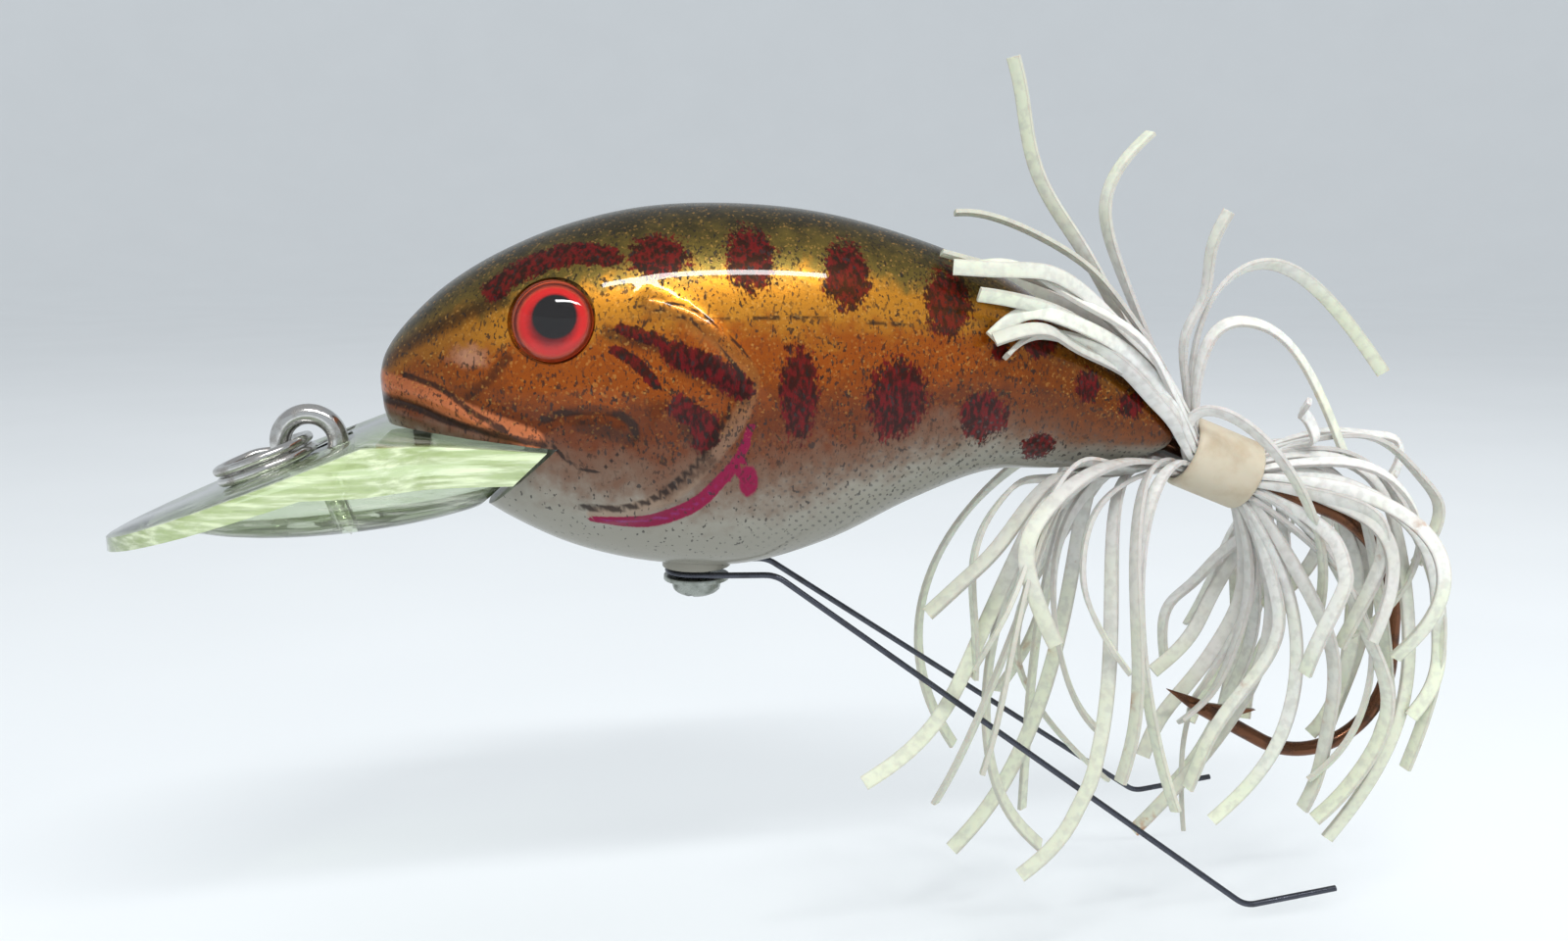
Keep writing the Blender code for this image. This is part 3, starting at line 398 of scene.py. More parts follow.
def refined(node, name, body, slot, material, bevel=0.06, angle=35):
    """A welded, smoothly shaded copy of a CAD piece with its edges rounded over."""
    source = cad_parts[node]
    obj = bpy.data.objects.new(name, source.data.copy())
    bpy.context.scene.collection.objects.link(obj)
    bm = bmesh.new()
    bm.from_mesh(obj.data)
    bmesh.ops.remove_doubles(bm, verts=bm.verts, dist=0.002 * MM)
    bmesh.ops.dissolve_limit(bm, angle_limit=math.radians(1), verts=bm.verts, edges=bm.edges)
    bm.to_mesh(obj.data)
    bm.free()
    obj.data.materials.clear()
    obj.data.materials.append(material)
    if bevel:
        rounding = obj.modifiers.new("rounding", "BEVEL")
        rounding.width = bevel * MM
        rounding.segments = 2
        rounding.angle_limit = math.radians(angle)
        settled(obj)
    smooth(obj, angle)
    return ready(obj, body, slot, node)


# ---- the body ----
DENSE = through(BODY_STATIONS, 14)


def section(x):
    """Top, bottom and half-width of the body at x."""
    share = (np.asarray(x, float) - NOSE[0]) / BODY_LENGTH
    top, low, half = (np.interp(share, DENSE[:, 0], DENSE[:, k]) for k in (1, 2, 3))
    return NOSE[1] + top * BODY_HEIGHT, NOSE[1] + low * BODY_HEIGHT, half * BODY_WIDTH / 2


def body_rings(inset=0.0, first=0.002, last=0.998, rows=210, sides=160):
    share = first + (last - first) * (1 - np.cos(np.linspace(0, math.pi, rows))) / 2
    x = NOSE[0] + share * BODY_LENGTH
    top, low, half = section(x)
    top, low, half = top - inset, low + inset, half - inset
    keep = half > 0.05
    angles = 2 * math.pi * (np.arange(sides) + 0.5) / sides
    power = 2 / SECTION_POWER
    side = np.sign(np.cos(angles)) * np.abs(np.cos(angles)) ** power
    rise = np.sign(np.sin(angles)) * np.abs(np.sin(angles)) ** power
    y = half[:, None] * side
    z = ((top + low) / 2)[:, None] + ((top - low) / 2)[:, None] * rise
    return np.stack([np.broadcast_to(x[:, None], y.shape), y, z], axis=2)[keep]


def distance_to(line, x, z, per_span=16):
    line = through(line, per_span)
    return np.sqrt(((x[:, None] - line[:, 0]) ** 2 + (z[:, None] - line[:, 1]) ** 2).min(1))


def moulded(rings):
    """Raises the gill plate's rim and the lips, and sinks the mouth and cheek lines."""
    points = rings.reshape(-1, 3)
    x, y, z = points.T
    top, low, half = section(x)
    middle = (top + low) / 2
    out = np.stack([np.zeros_like(x), y, (z - middle) * half / np.maximum((top - low) / 2, 0.1)], 1)
    out /= np.maximum(np.linalg.norm(out, axis=1), 0.01)[:, None]
    lift = np.zeros_like(x)
    for line, width, height in ((GILL_RIDGE, 0.75, 1.0), (UPPER_LIP, 0.7, 0.9), (LOWER_LIP, 0.6, 0.5),
                                (CHEEK_RIDGE, 0.6, 0.45)):
        lift += RIDGE_LIFT * height * np.exp(-(distance_to(line, x, z) / width) ** 2)
    for line, width in DRAWN:
        lift -= GROOVE * (0.3 + width * 2) * np.exp(-(distance_to(line, x, z) / (width + 0.08)) ** 2)
    on_side = np.clip(np.abs(y) / 2.0, 0, 1)
    return (points + out * (lift * on_side)[:, None]).reshape(rings.shape)


def prism(name, outline, low, high):
    """An outline of x, z points with flat sides at y low and y high."""
    count = len(outline)
    vertices = [(x, y, z) for y in (low, high) for x, z in outline]
    faces = [tuple(range(count)), tuple(range(count, 2 * count))]
    faces += [(i, (i + 1) % count, count + (i + 1) % count, count + i) for i in range(count)]
    return mesh_piece(name, vertices, faces)


def rod(name, centre, axis, radius, length, sides=96):
    centre, axis = Vector(centre), Vector(axis).normalized()
    a = axis.orthogonal().normalized()
    b = axis.cross(a)
    rings = [[centre + axis * h + (a * math.cos(t) + b * math.sin(t)) * radius
              for t in np.arange(sides) * 2 * math.pi / sides] for h in (-length / 2, length / 2)]
    return rings_piece(name, rings)


def eye_seat(tag):
    """Centre and outward direction of an eye, from its CAD disc."""
    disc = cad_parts[f"eye_disc_{tag}"]
    side = -1 if tag == "left" else 1
    flat = max(disc.data.polygons, key=lambda face: face.area * max(0.0, face.normal.y * side))
    low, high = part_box(f"eye_disc_{tag}")
    return (low + high) / 2 / MM, flat.normal.normalized()


def make_body(paint):
    skin = rings_piece("body_skin", moulded(body_rings()))
    hollow = rings_piece("body_hollow", body_rings(BODY_WALL, 0.07, 0.82, 60, 48))
    cut(hollow, prism("hollow_front", [(1, -12), (19, -12), (22, 2.4), (1, 4.2)], -15, 15))
    cut(hollow, rod("hollow_boss", (SCREW_X, 0, -10), (0, 0, 1), 3.2, 20))
    cut(skin, hollow)
    cut(skin, prism("mouth", MOUTH_CUT, -30, 30))
    pad_z = section(SCREW_X)[1]
    cut(skin, rod("pad", (SCREW_X, 0, pad_z + 0.85), (0, 0, 1), 2.8, 2.3), "UNION")
    cut(skin, rod("screw_bore", (SCREW_X, 0, -8.4), (0, 0, 1), 1.08, 9.2))
    cut(skin, rod("ballast_seat", BALLAST_AT, (0, 1, 0), 3.7, 11.6))
    cut(skin, rod("pin_bore", HOOK_PIN, (0, 1, 0), 0.66, 5.7, 32))
    cut(skin, prism("tail_slot", [(64.6, -20), (80, -20), (80, 2.05), (64.6, 2.05)], -0.9, 0.9))
    for tag in ("left", "right"):
        seat, out = eye_seat(tag)
        cut(skin, rod("socket", seat + out * 3.2, out, 3.3, 7.0))
    for tag, low, high in (("left", -30, -SEAM_GAP / 2), ("right", SEAM_GAP / 2, 30)):
        half = bpy.data.objects.new(f"painted_half_{tag}", skin.data.copy())
        bpy.context.scene.collection.objects.link(half)
        cut(half, prism("keep", [(-60, -60), (120, -60), (120, 60), (-60, 60)], low, high), "INTERSECT")
        half.data.materials.clear()
        half.data.materials.append(paint)
        smooth(half, 40)
        paint_fields(half)
        ready(half, LURE, "painted_body", f"body_{tag}_half")
    bpy.data.objects.remove(skin, do_unlink=True)


def nearest(lines, x, z):
    """Distance to the nearest of the lines, 1 at its half-width."""
    return np.min([distance_to(line, x, z) / width for line, width in lines], axis=0)


def paint_fields(obj):
    """How far each point is from the painted marks, 1 at a mark's edge."""
    x, y, z = points_of(obj).T
    top, low, _ = section(np.clip(x, NOSE[0], NOSE[0] + BODY_LENGTH))
    keep_field(obj, "rise", (z - low) / np.maximum(top - low, 0.5))
    spots = np.min([np.hypot((x - mx) / mw, (z - mz) / mh) for mx, mz, mw, mh in MARKS], axis=0)
    keep_field(obj, "crimson", np.minimum(spots, nearest(STROKES, x, z)))
    taper = 0.16 + 0.46 * np.clip(1 - ((x - 28.0) / 7.0) ** 2, 0, 1)
    tear = np.hypot((x - 33.5) / 0.75, (z + 2.3) / 1.3)
    keep_field(obj, "magenta", np.minimum(distance_to(FIN_CRESCENT, x, z) / taper, tear))
    keep_field(obj, "rim", distance_to(GILL_RIDGE, x, z))
    keep_field(obj, "drawn", nearest(DRAWN, x, z))
    keep_field(obj, "shaded", nearest(SHADED, x, z))
    keep_field(obj, "lateral", distance_to(LATERAL_LINE, x, z))
    keep_field(obj, "mouth_lip", distance_to(UPPER_LIP, x, z))
    # the pale sheen spot on the snout by the nostril, where a highlight is painted
    keep_field(obj, "painted_nostril_sheen", np.hypot((x - 13.0) / 1.7, (z - 7.2) / 1.1))


def lure_paint():
    """Pearl belly to gold and olive, flecked and marked, all under a clear coat."""
    f = Finish("lure_paint", Coat_Weight=0.38, Coat_Roughness=0.025, Coat_IOR=1.5, Specular_IOR_Level=0.05)
    x = f.node("ShaderNodeSeparateXYZ", None, {0: f.place}, "X")
    z = f.node("ShaderNodeSeparateXYZ", None, {0: f.place}, "Z")
    rise = f.field("rise")
    cloud = f.noise(0.35, 4)
    mottle = f.noise(1.1, 5)
    level = rise + (cloud - 0.5) * 0.16 + (mottle - 0.5) * 0.14
    pearl, dun = (0.26, 0.25, 0.21), (0.135, 0.075, 0.048)
    colour = f.mix(f.step(level, 0.12, 0.30), pearl, dun)
    colour = f.mix(f.step(level, 0.27, 0.42), colour, (0.115, 0.025, 0.005))
    colour = f.mix(f.step(level, 0.42, 0.60), colour, (0.35, 0.076, 0.005))
    colour = f.mix(f.step(level, 0.62, 0.74), colour, (0.52, 0.21, 0.018))
    colour = f.mix(f.step(level, 0.76, 0.86), colour, (0.15, 0.105, 0.022))
    colour = f.mix(f.step(level, 0.86, 0.98), colour, (0.040, 0.032, 0.011))
    head = f.step(x, 17.0, 9.0) * f.step(z, 2.0, 5.0) * f.step(rise, 0.95, 0.75)
    colour = f.mix(head * 0.6, colour, (0.17, 0.048, 0.010))
    tail = f.step(x, 48.0, 62.0) * f.step(rise, 0.12, 0.3)
    colour = f.mix(tail * 0.75, colour, f.mix(mottle, (0.025, 0.006, 0.002), (0.20, 0.052, 0.006)))
    # painted highlight: a pale sheen spot on the snout by the nostril, mixed into the colour
    sheen = f.step(f.field("painted_nostril_sheen") + (mottle - 0.5) * 1.2, 1.1, 0.2)
    colour = f.mix(sheen * 0.8, colour, (0.55, 0.27, 0.16))
    ragged = (f.noise(1.5, 4) - 0.5) * 0.9 + (f.noise(5.0, 3, (1, 1, 0.45)) - 0.5) * 1.1
    lip = f.step(f.field("mouth_lip") + ragged * 0.1, 0.95, 0.6)
    colour = f.mix(lip, colour, f.mix(mottle, (0.34, 0.085, 0.025), (0.62, 0.20, 0.08)))
    rim = f.step(f.field("rim") + ragged * 0.25, 0.85, 0.45)
    colour = f.mix(rim * 0.6, colour, f.mix(f.step(z, 0, 7), (0.23, 0.15, 0.10), (0.33, 0.12, 0.02)))
    shaded = f.step(f.field("shaded") + ragged * 0.5, 1.25, 0.2)
    colour = f.mix(shaded * 0.72, colour, (0.035, 0.012, 0.006))
    crimson = f.step(f.field("crimson") + ragged, 1.14, 0.86)
    blotch = f.step(f.noise(2.6, 3, (1, 1, 0.5)), 0.4, 0.62)
    reds = f.mix(blotch, (0.016, 0.0005, 0.001), (0.105, 0.001, 0.004))
    colour = f.mix(crimson * 0.94, colour, reds)
    magenta = f.step(f.field("magenta") + ragged * 0.22, 1.12, 0.85)
    # painted highlight: a violet sheen along the middle of the magenta crescent, towards its front end
    painted_violet_sheen = f.step(f.field("magenta") + (mottle - 0.5), 0.45, 0.1) * f.step(x, 32.5, 28.0)
    colour = f.mix(magenta, colour, f.mix(painted_violet_sheen * 0.8, (0.19, 0.001, 0.035), (0.20, 0.025, 0.14)))
    grain = f.noise(3.9, 3, (1, 1, 0.6))
    sparse = f.step(cloud + (f.noise(0.9, 2) - 0.5) * 0.7, 0.30, 0.66)
    flecks = f.step(grain, 0.555, 0.61) * (0.35 + 0.65 * sparse) * f.step(level, 0.16, 0.42)
    specks = f.step(f.noise(2.3, 1, (1.3, 1, 0.75)), 0.66, 0.70) * f.step(level, 0.0, 0.12)
    colour = f.mix(flecks * 0.9, colour, (0.012, 0.008, 0.006))
    colour = f.mix(specks * 0.75, colour, (0.02, 0.018, 0.018))
    column, row = x * 6.4 + mottle * 2.0, z * 7.6 + x * 0.9
    dots = f.step(column.sine() * row.sine() + (grain - 0.5) * 1.4, 0.55, 0.9)
    scales = f.step(level, 0.34, 0.24) * f.step(x, 31.0, 38.0) * f.step(level, 0.02, 0.1)
    colour = f.mix(dots * scales * 0.6, colour, (0.05, 0.05, 0.05))
    drawn = f.step(f.field("drawn") + ragged * 0.22, 1.35, 0.6)
    colour = f.mix(drawn * 0.9, colour, (0.014, 0.007, 0.005))
    dash = f.step(f.noise(0.75, 1, (1, 0, 0.2)), 0.40, 0.50)
    lateral = f.step(f.field("lateral"), 0.30, 0.12) * dash
    colour = f.mix(lateral * 0.85, colour, (0.03, 0.015, 0.008))
    flakes = f.step(f.cells(6.0), 0.74, 0.92) * f.step(level, 0.3, 0.6) * (1 - crimson)
    colour = f.mix(flakes * 0.28, colour, (0.80, 0.42, 0.10))
    dull = (1 - drawn) * (1 - crimson * 0.7) * (1 - flecks)
    f.set(Base_Color=colour, Metallic=f.step(level, 0.20, 0.6) * 0.72 * dull,
          Roughness=0.33 + (f.noise(9.0, 2) - 0.5) * 0.3,
          Normal=f.bump(f.noise(8.0, 2) + flecks * 0.3, 0.12, 0.05))
    return f.material


# ---- eyes ----
def lens_finish():
    f = Finish("eye_lens", Roughness=0.05)
    f.set(Base_Color=f.mix(f.noise(2.0), (0.92, 0.88, 0.86), (1.0, 0.96, 0.94)))
    f.clear_over((1.0, 0.98, 0.97), 0.02)
    return f.material


def iris_finish():
    f = Finish("eye_print", Roughness=0.3, Specular_IOR_Level=0.1)
    ring, pupil = f.field("ring"), f.field("pupil")
    streaks = (f.noise(5.0, 4) - 0.5) * 0.12
    colour = f.mix(f.step(ring + streaks, 0.48, 0.78), (0.16, 0.001, 0.003), (0.80, 0.012, 0.010))
    colour = f.mix(f.step(ring + streaks, 0.80, 0.93), colour, (0.95, 0.13, 0.04))
    colour = f.mix(f.step(pupil, 0.60, 0.52), colour, (0.004, 0.004, 0.005))
    f.set(Base_Color=colour, Metallic=f.step(ring, 0.4, 0.8) * 0.35)
    return f.material


def make_eyes(print_material, lens_material):
    radius = 3.02
    for tag in ("left", "right"):
        seat, out = eye_seat(tag)
        forward = (Vector((-1, 0, 0)) - out * -out.x).normalized()
        up = Vector((0, 0, 1)) - out * out.z
        up = (up - forward * up.dot(forward)).normalized()

        def disc_point(r, angle, height):
            return seat + out * height + (forward * math.cos(angle) + up * math.sin(angle)) * r

        angles = np.arange(72) * 2 * math.pi / 72
        print_rings = [[disc_point(r, a, h) for a in angles]
                       for r, h in [(0.02, -0.15), (radius, -0.15), (radius, 0.15)]
                       + [(radius * s, 0.15) for s in np.linspace(0.97, 0.01, 26)]]
        disc = rings_piece(f"eye_print_{tag}", print_rings, print_material)
        flat = points_of(disc) - np.array(seat)
        keep_field(disc, "ring", np.hypot(flat @ np.array(forward), flat @ np.array(up)) / radius)
        keep_field(disc, "pupil", np.hypot(flat @ np.array(forward) + 0.12,
                                           flat @ np.array(up) - 0.36) / radius)
        ready(disc, LURE, "eye_foil", f"eye_disc_{tag}")
        dome = [(radius * 0.01, 0.3), (radius, 0.3)]
        dome += [(radius * math.cos(a), 0.62 + 1.12 * math.sin(a))
                 for a in np.linspace(0, math.pi / 2 - 0.01, 22)]
        lens = rings_piece(f"eye_lens_{tag}", [[disc_point(r, a, h) for a in angles] for r, h in dome],
                           lens_material)
        ready(lens, LURE, "eye_dome", f"eye_dome_{tag}")


# ---- lip and hardware ----
def lip_finish():
    """Clear plastic with long flow lines, and a painted glow that makes it greener and hazier towards its
    edges.
    """
    f = Finish("clear_lip_plastic", Roughness=0.12, Coat_Weight=0.6, Coat_Roughness=0.03)
    streaks = f.noise(0.9, 5, (0.22, 0.9, 2.4))
    fine = f.noise(1.6, 4, (0.16, 0.8, 3.4))
    tint = f.mix(f.step(streaks, 0.38, 0.62), (0.50, 0.64, 0.26), (0.86, 0.90, 0.72))
    tint = f.mix(f.step(fine, 0.60, 0.68) * 0.6, tint, (0.26, 0.30, 0.16))
    # painted glow: greener and hazier along the blade's edges, standing in for light glowing at the edges
    # of the clear plastic
    edge = f.step(f.field("edge") + (streaks - 0.5) * 0.6, 1.3, 0.1)
    colour = f.mix(edge * 0.55, tint, (0.60, 0.74, 0.33))
    scratches = f.step(f.noise(3.0, 3, (0.3, 2.5, 1)), 0.60, 0.66)
    f.set(Base_Color=colour, Normal=f.bump(streaks + fine * 0.5 + scratches * 0.2, 0.35, 0.2))
    # the edge term in the haze is part of that painted glow
    haze = 0.16 + edge * (0.22 + streaks * 0.45) + f.step(streaks, 0.50, 0.66) * 0.20 + scratches * 0.06
    f.clear_over((0.90, 0.95, 0.85), 0.03, haze)
    return f.material


def make_lip(material):
    lip = refined("diving_lip", "lip_blade", LURE, "clear_lip", material, 0.12)
    lip.modifiers.new("fine", "SUBSURF").subdivision_type = "SIMPLE"
    settled(lip)
    smooth(lip)
    x, y, z = points_of(lip).T
    rim = np.interp(x, [-15.2, -14.8, -13.6, -11, -6.8, -1.8, 2.4, 5.8, 8.8, 11.8, 19],
                    [0, 2.6, 5.2, 8.2, 10.9, 12.2, 12.3, 11.7, 9.5, 8.6, 8.6])
    # the edge field drives the painted glow along the blade's edges
    keep_field(lip, "edge", np.minimum(rim - np.abs(y), (x + 15.2) * 1.2))


def metal(name, colour, dark, roughness, scale=6.0, metallic=1.0):
    """Plated or drawn metal: brushed grain, dull patches and darker grime."""
    f = Finish(name)
    grain = f.noise(scale, 4)
    grime = f.step(f.noise(0.8, 4), 0.45, 0.72)
    f.set(Base_Color=f.mix(grime * 0.7, colour, dark), Metallic=metallic - grime * 0.25,
          Roughness=roughness + (grain - 0.5) * 0.22 + grime * 0.15,
          Normal=f.bump(grain, 0.15, 0.03))
    return f.material


def make_line_tie(material):
    radius, wire, shank, reach = 2.2, 0.8, 0.55, 8.0
    down = np.array([math.sin(LIP_SLOPE), 0, -math.cos(LIP_SLOPE)])
    angles = np.linspace(0, 2 * math.pi, 73)[:-1]
    loop = np.stack([radius * np.cos(angles), 0 * angles, radius * np.sin(angles)], 1)
    ring = closed_wire("line_tie_loop", loop, wire, material)
    depth = np.linspace(radius - 0.3, reach, 240)
    turn = (depth - radius) / 0.65 * 2 * math.pi
    across, side = np.array([math.cos(LIP_SLOPE), 0, math.sin(LIP_SLOPE)]), np.array([0, 1, 0])
    around = np.arange(24) * 2 * math.pi / 24
    rings = []
    for d, t in zip(depth, turn):
        threaded = d > radius + 0.9
        ridge = 0.5 + 0.5 * np.cos(around - t) if threaded else np.ones(24)
        r = (shank - 0.14 + 0.14 * ridge) * min(1.0, 0.1 + (reach - d) * 1.1)
        spokes = np.cos(around)[:, None] * across + np.sin(around)[:, None] * side
        rings.append(down * d + r[:, None] * spokes)
    thread = rings_piece("line_tie_shank", rings, smooth_angle=60)
    cut(ring, thread, "UNION")
    smooth(ring, 45)
    ready(ring, LURE, "nickel_steel", "line_tie_screw_eye")


def closed_wire(name, loop, radius, material, sides=28):
    """A closed ring of wire in the XZ plane."""
    runs = np.roll(loop, -1, 0) - np.roll(loop, 1, 0)
    runs /= np.linalg.norm(runs, axis=1)[:, None]
    across = np.array([0, 1, 0])
    angles = np.arange(sides) * 2 * math.pi / sides
    rings = [point + radius * (np.cos(angles)[:, None] * across
                               + np.sin(angles)[:, None] * np.cross(run, across))
             for point, run in zip(loop, runs)]
    return rings_piece(name, rings, material, closed=True, smooth_angle=60)


def make_split_ring(material):
    radius, wire = 3.6, 0.375
    lift, ease = 0.425, 0.5
    a = np.linspace(0.06, 4 * math.pi - 0.06, 220)
    t = np.clip((a - 2 * math.pi + ease) / (2 * ease), 0, 1)
    level = lift * (2 * t * t * (3 - 2 * t) - 1)
    flat = np.stack([radius * np.cos(a + math.pi / 2) - radius, radius * np.sin(a + math.pi / 2), level], 1)
    tilt = np.array(Matrix.Rotation(-LIP_SLOPE, 3, "Y"))
    ring = round_wire("split_ring_coil", flat @ tilt.T, wire, material, (0, 0, 1), 18)
    ready(ring, "split_ring", "nickel_steel", "split_ring")


def make_guard(material):
    """One bent wire, in two lengths that meet in front of the screw."""
    low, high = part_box("guard_loop")
    z = (low.z + high.z) / 2 / MM
    wire, turn, spread = 0.25, 2.35, 12.0
    screw_x, bend_x = low.x / MM + wire + turn, 36.4
    for side, tag in ((-1, "left"), (1, "right")):
        leg_low, leg_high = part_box(f"guard_leg_{tag}")
        tip_x = leg_high.x / MM
        knee = (bend_x + 0.15 + 37.4, side * spread, z - 26.9)
        arc = [(screw_x + turn * math.cos(a), side * turn * math.sin(a), z)
               for a in np.linspace(math.pi, math.pi / 2, 14)]
        tip = (tip_x, side * spread, knee[2] + 1.0)
        corners = rounded([arc[-1], (bend_x, side * 3.0, z), knee, tip], 0.9)
        path = np.vstack([arc[:-1], corners])
        fine = [path[0]]
        for a, b in zip(path, path[1:]):
            steps = max(1, int(np.linalg.norm(b - a) / 0.7))
            fine += [a + (b - a) * k / steps for k in range(1, steps + 1)]
        leg = round_wire(f"guard_wire_{tag}", fine, wire, material, (0, 0, 1), 16)
        nodes = [f"guard_leg_{tag}"] + (["guard_loop"] if tag == "left" else [])
        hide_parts(*nodes)
        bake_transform(leg)


def hook_line():
    """The hook's middle line from eye to point, the wire's scale along it, its tip and its aim."""
    eye, heading = 1.5, -HOOK_DROOP
    eye_end = heading - math.radians(38)
    eye_start = eye_end - 2 * math.pi + math.radians(46)
    points = [HOOK_PIN + Vector((math.cos(a), 0, math.sin(a))) * eye
              for a in np.linspace(eye_start, eye_end, 34)]
    points.append(HOOK_PIN + AXIS * (eye + 1.6))
    now = HOOK_PIN + AXIS * 19.8
    points += [points[-1].lerp(now, k / 8) for k in range(1, 9)]
    steps = 30
    bends = ((11.0, math.pi / 2 - HOOK_DROOP, 3.7), (8.0, math.pi / 2 + math.radians(30), 0))
    for radius, turn, run in bends:
        for _ in range(steps):
            step = turn / steps
            heading -= step / 2
            chord = 2 * radius * math.sin(step / 2)
            now = now + Vector((math.cos(heading), 0, math.sin(heading))) * chord
            heading -= step / 2
            points.append(now)
        if run:
            now = now + Vector((math.cos(heading), 0, math.sin(heading))) * run
            points.append(now)
    along = Vector((math.cos(heading), 0, math.sin(heading)))
    base, length = now.copy(), 10.4
    points += [base + along * length * k / 14 for k in range(1, 15)]
    scale = np.ones(len(points))
    scale[-5:] = (0.86, 0.68, 0.47, 0.25, 0.04)
    return np.array(points), scale, base + along * length, along


def make_hook(material):
    path, scale, tip, along = hook_line()
    hook = round_wire("bronzed_hook", path, 0.65 * scale, material, (0, 1, 0), 24)
    back = -along
    inward = Vector((back.z, 0, -back.x))
    if inward.dot(HOOK_PIN - tip) < 0:
        inward.negate()
    root = tip + back * 2.4
    lift = back * math.cos(math.radians(20)) + inward * math.sin(math.radians(20))
    sliver = [root, root + lift * 6.4, root + back * 4.0 + inward * 0.15, root + back * 0.4 - inward * 0.2]
    barb = prism("barb", [(p.x, p.z) for p in sliver], -0.22, 0.22)
    cut(hook, barb, "UNION")
    smooth(hook, 40)
    ready(hook, HOOK, "bronzed_hook", "hook")


# ---- skirt ----
def clear_of_body(points):
    """Moves points that are in the body, or too near its skin, out to the clearance from it."""
    x, y, z = points.T
    inside = (x > NOSE[0]) & (x < NOSE[0] + BODY_LENGTH)
    top, low, half = section(np.clip(x, NOSE[0], NOSE[0] + BODY_LENGTH))
    top, low, half = top + BODY_CLEARANCE, low - BODY_CLEARANCE, half + BODY_CLEARANCE
    middle, tall = (top + low) / 2, (top - low) / 2
    reach = np.abs(y / half) ** SECTION_POWER + np.abs((z - middle) / tall) ** SECTION_POWER
    reach = reach ** (1 / SECTION_POWER)
    grow = np.where(inside & (reach < 1), 1 / np.maximum(reach, 0.05), 1)
    return np.stack([x, y * grow, middle + (z - middle) * grow], 1)


def clear_of_wire(points, line, gap):
    """Moves points that are nearer than gap to a wire's middle line straight away from it."""
    offset = points[:, None] - line[None]
    distance = np.linalg.norm(offset, axis=2)
    nearest = distance.argmin(1)
    least = distance[np.arange(len(points)), nearest]
    away = offset[np.arange(len(points)), nearest] / np.maximum(least, 0.01)[:, None]
    return points + away * np.maximum(0, gap - least)[:, None]


def strand_curve(start, leave, tip, arrive, obstacles, from_body, count=46):
    """One end of a strand: out of the collar along leave, and in to its tip along arrive."""
    t = np.linspace(0, 1, count)[:, None]
    ends = [np.array(p) for p in (start, start + leave, tip - arrive, tip)]
    points = (ends[0] * (1 - t) ** 3 + 3 * ends[1] * t * (1 - t) ** 2 + 3 * ends[2] * t ** 2 * (1 - t)
              + ends[3] * t ** 3)
    for size, turns in ((1.5, rng.uniform(1.2, 2.2)), (0.7, rng.uniform(2.6, 4.2))):
        wave = np.array([rng.uniform(-1, 1) for _ in range(3)])
        points += wave * size * np.sin(t * math.pi * turns) * t
    fixed = points[:4].copy()
    for _ in range(4):
        if from_body:
            points = clear_of_body(points)
        for line, gap in obstacles:
            points[4:] = clear_of_wire(points[4:], line, gap)
        points[1:-1] = (points[:-2] + 2 * points[1:-1] + points[2:]) / 4
        points[:4] = fixed
    return points


def lying(tip, heading):
    """A front strand that lies back over the tail or stands up."""
    span = (tip - COLLAR_FRONT).length
    return tip, AXIS * -0.30 * span + COLLAR_UP * 0.22 * span, heading.normalized() * 0.34 * span


def drooping(tip, heading):
    """A front strand that goes forward, arches over and falls."""
    away = tip - COLLAR_FRONT
    leave = AXIS * -(4.0 + 0.50 * abs(away.x)) + Vector((0, away.y * 0.35, 1.5))
    return tip, leave, heading.normalized() * (4.0 + 0.42 * abs(away.z))


def folded_back(tip, heading, height):
    """A front strand that stands up and folds back over the collar."""
    return tip, Vector((-2.5, 0, height)), heading.normalized() * height


def arching(tip, heading):
    """A rear strand that arches to the right before it falls."""
    span = (tip - COLLAR_FRONT).length
    return tip, AXIS * 0.40 * span + COLLAR_UP * 0.28 * span, heading.normalized() * 0.40 * span


def falling(index):
    """A rear strand of the fountain round the hook, which curls in at the bottom."""
    around = (index + 0.5) / FALLING * 2 * math.pi + rng.uniform(-0.1, 0.1)
    side, lean = math.sin(around), math.cos(around)
    tip = Vector((80.5 + 8.5 * lean + rng.uniform(-4.0, 4.5), side * rng.uniform(6.0, 12.5),
                  -26.5 + 3.5 * lean + rng.uniform(-7.5, 8.5)))
    heading = Vector((rng.uniform(-1.3, 0.1) - 0.3 * lean, -0.4 * side, -1)).normalized()
    outward = COLLAR_UP * lean + Vector((0, side, 0))
    leave = AXIS * rng.uniform(7.0, 12.0) + outward * rng.uniform(5.0, 8.5)
    return tip, leave, heading * rng.uniform(8.0, 13.0)


def ordered(ends, centre):
    """Ends in order of their angle about the collar, so that strands don't cross at its mouth."""
    def angle(end):
        away = end[1].normalized() * 8 + (end[0] - centre).normalized() * 4
        return math.atan2(away.y + 0.001, away.dot(COLLAR_UP)) % (2 * math.pi)
    return sorted(ends, key=angle)


def ring_places():
    """Where strands sit in the collar's bore, by angle: outer ring of 20, inner ring of 14."""
    places = [(2 * math.pi * (i + 0.5) / 20, 2.15) for i in range(20)]
    places += [(2 * math.pi * (i + 0.5) / 14, 1.55) for i in range(14)]
    return sorted(places)


def ribbon(name, path, wide, width_at, twist, material):
    """A flat strip with eased corners along a path; its outline has eight points."""
    across, up = frames_along(path, wide)
    edge, eased = 0.5, 0.36
    outline = np.array([(-eased, -edge), (eased, -edge), (edge, -eased), (edge, eased),
                        (eased, edge), (-eased, edge), (-edge, eased), (-edge, -eased)])
    rings = []
    for point, a, b, width, turn in zip(path, across, up, width_at, twist):
        a, b = a * math.cos(turn) + b * math.sin(turn), b * math.cos(turn) - a * math.sin(turn)
        rings.append(point + outline[:, :1] * width * a + outline[:, 1:] * STRAND_THICKNESS * b)
    return rings_piece(name, rings, material, smooth_angle=40)


def as_vector(value):
    return Vector(value) if isinstance(value, tuple) else value


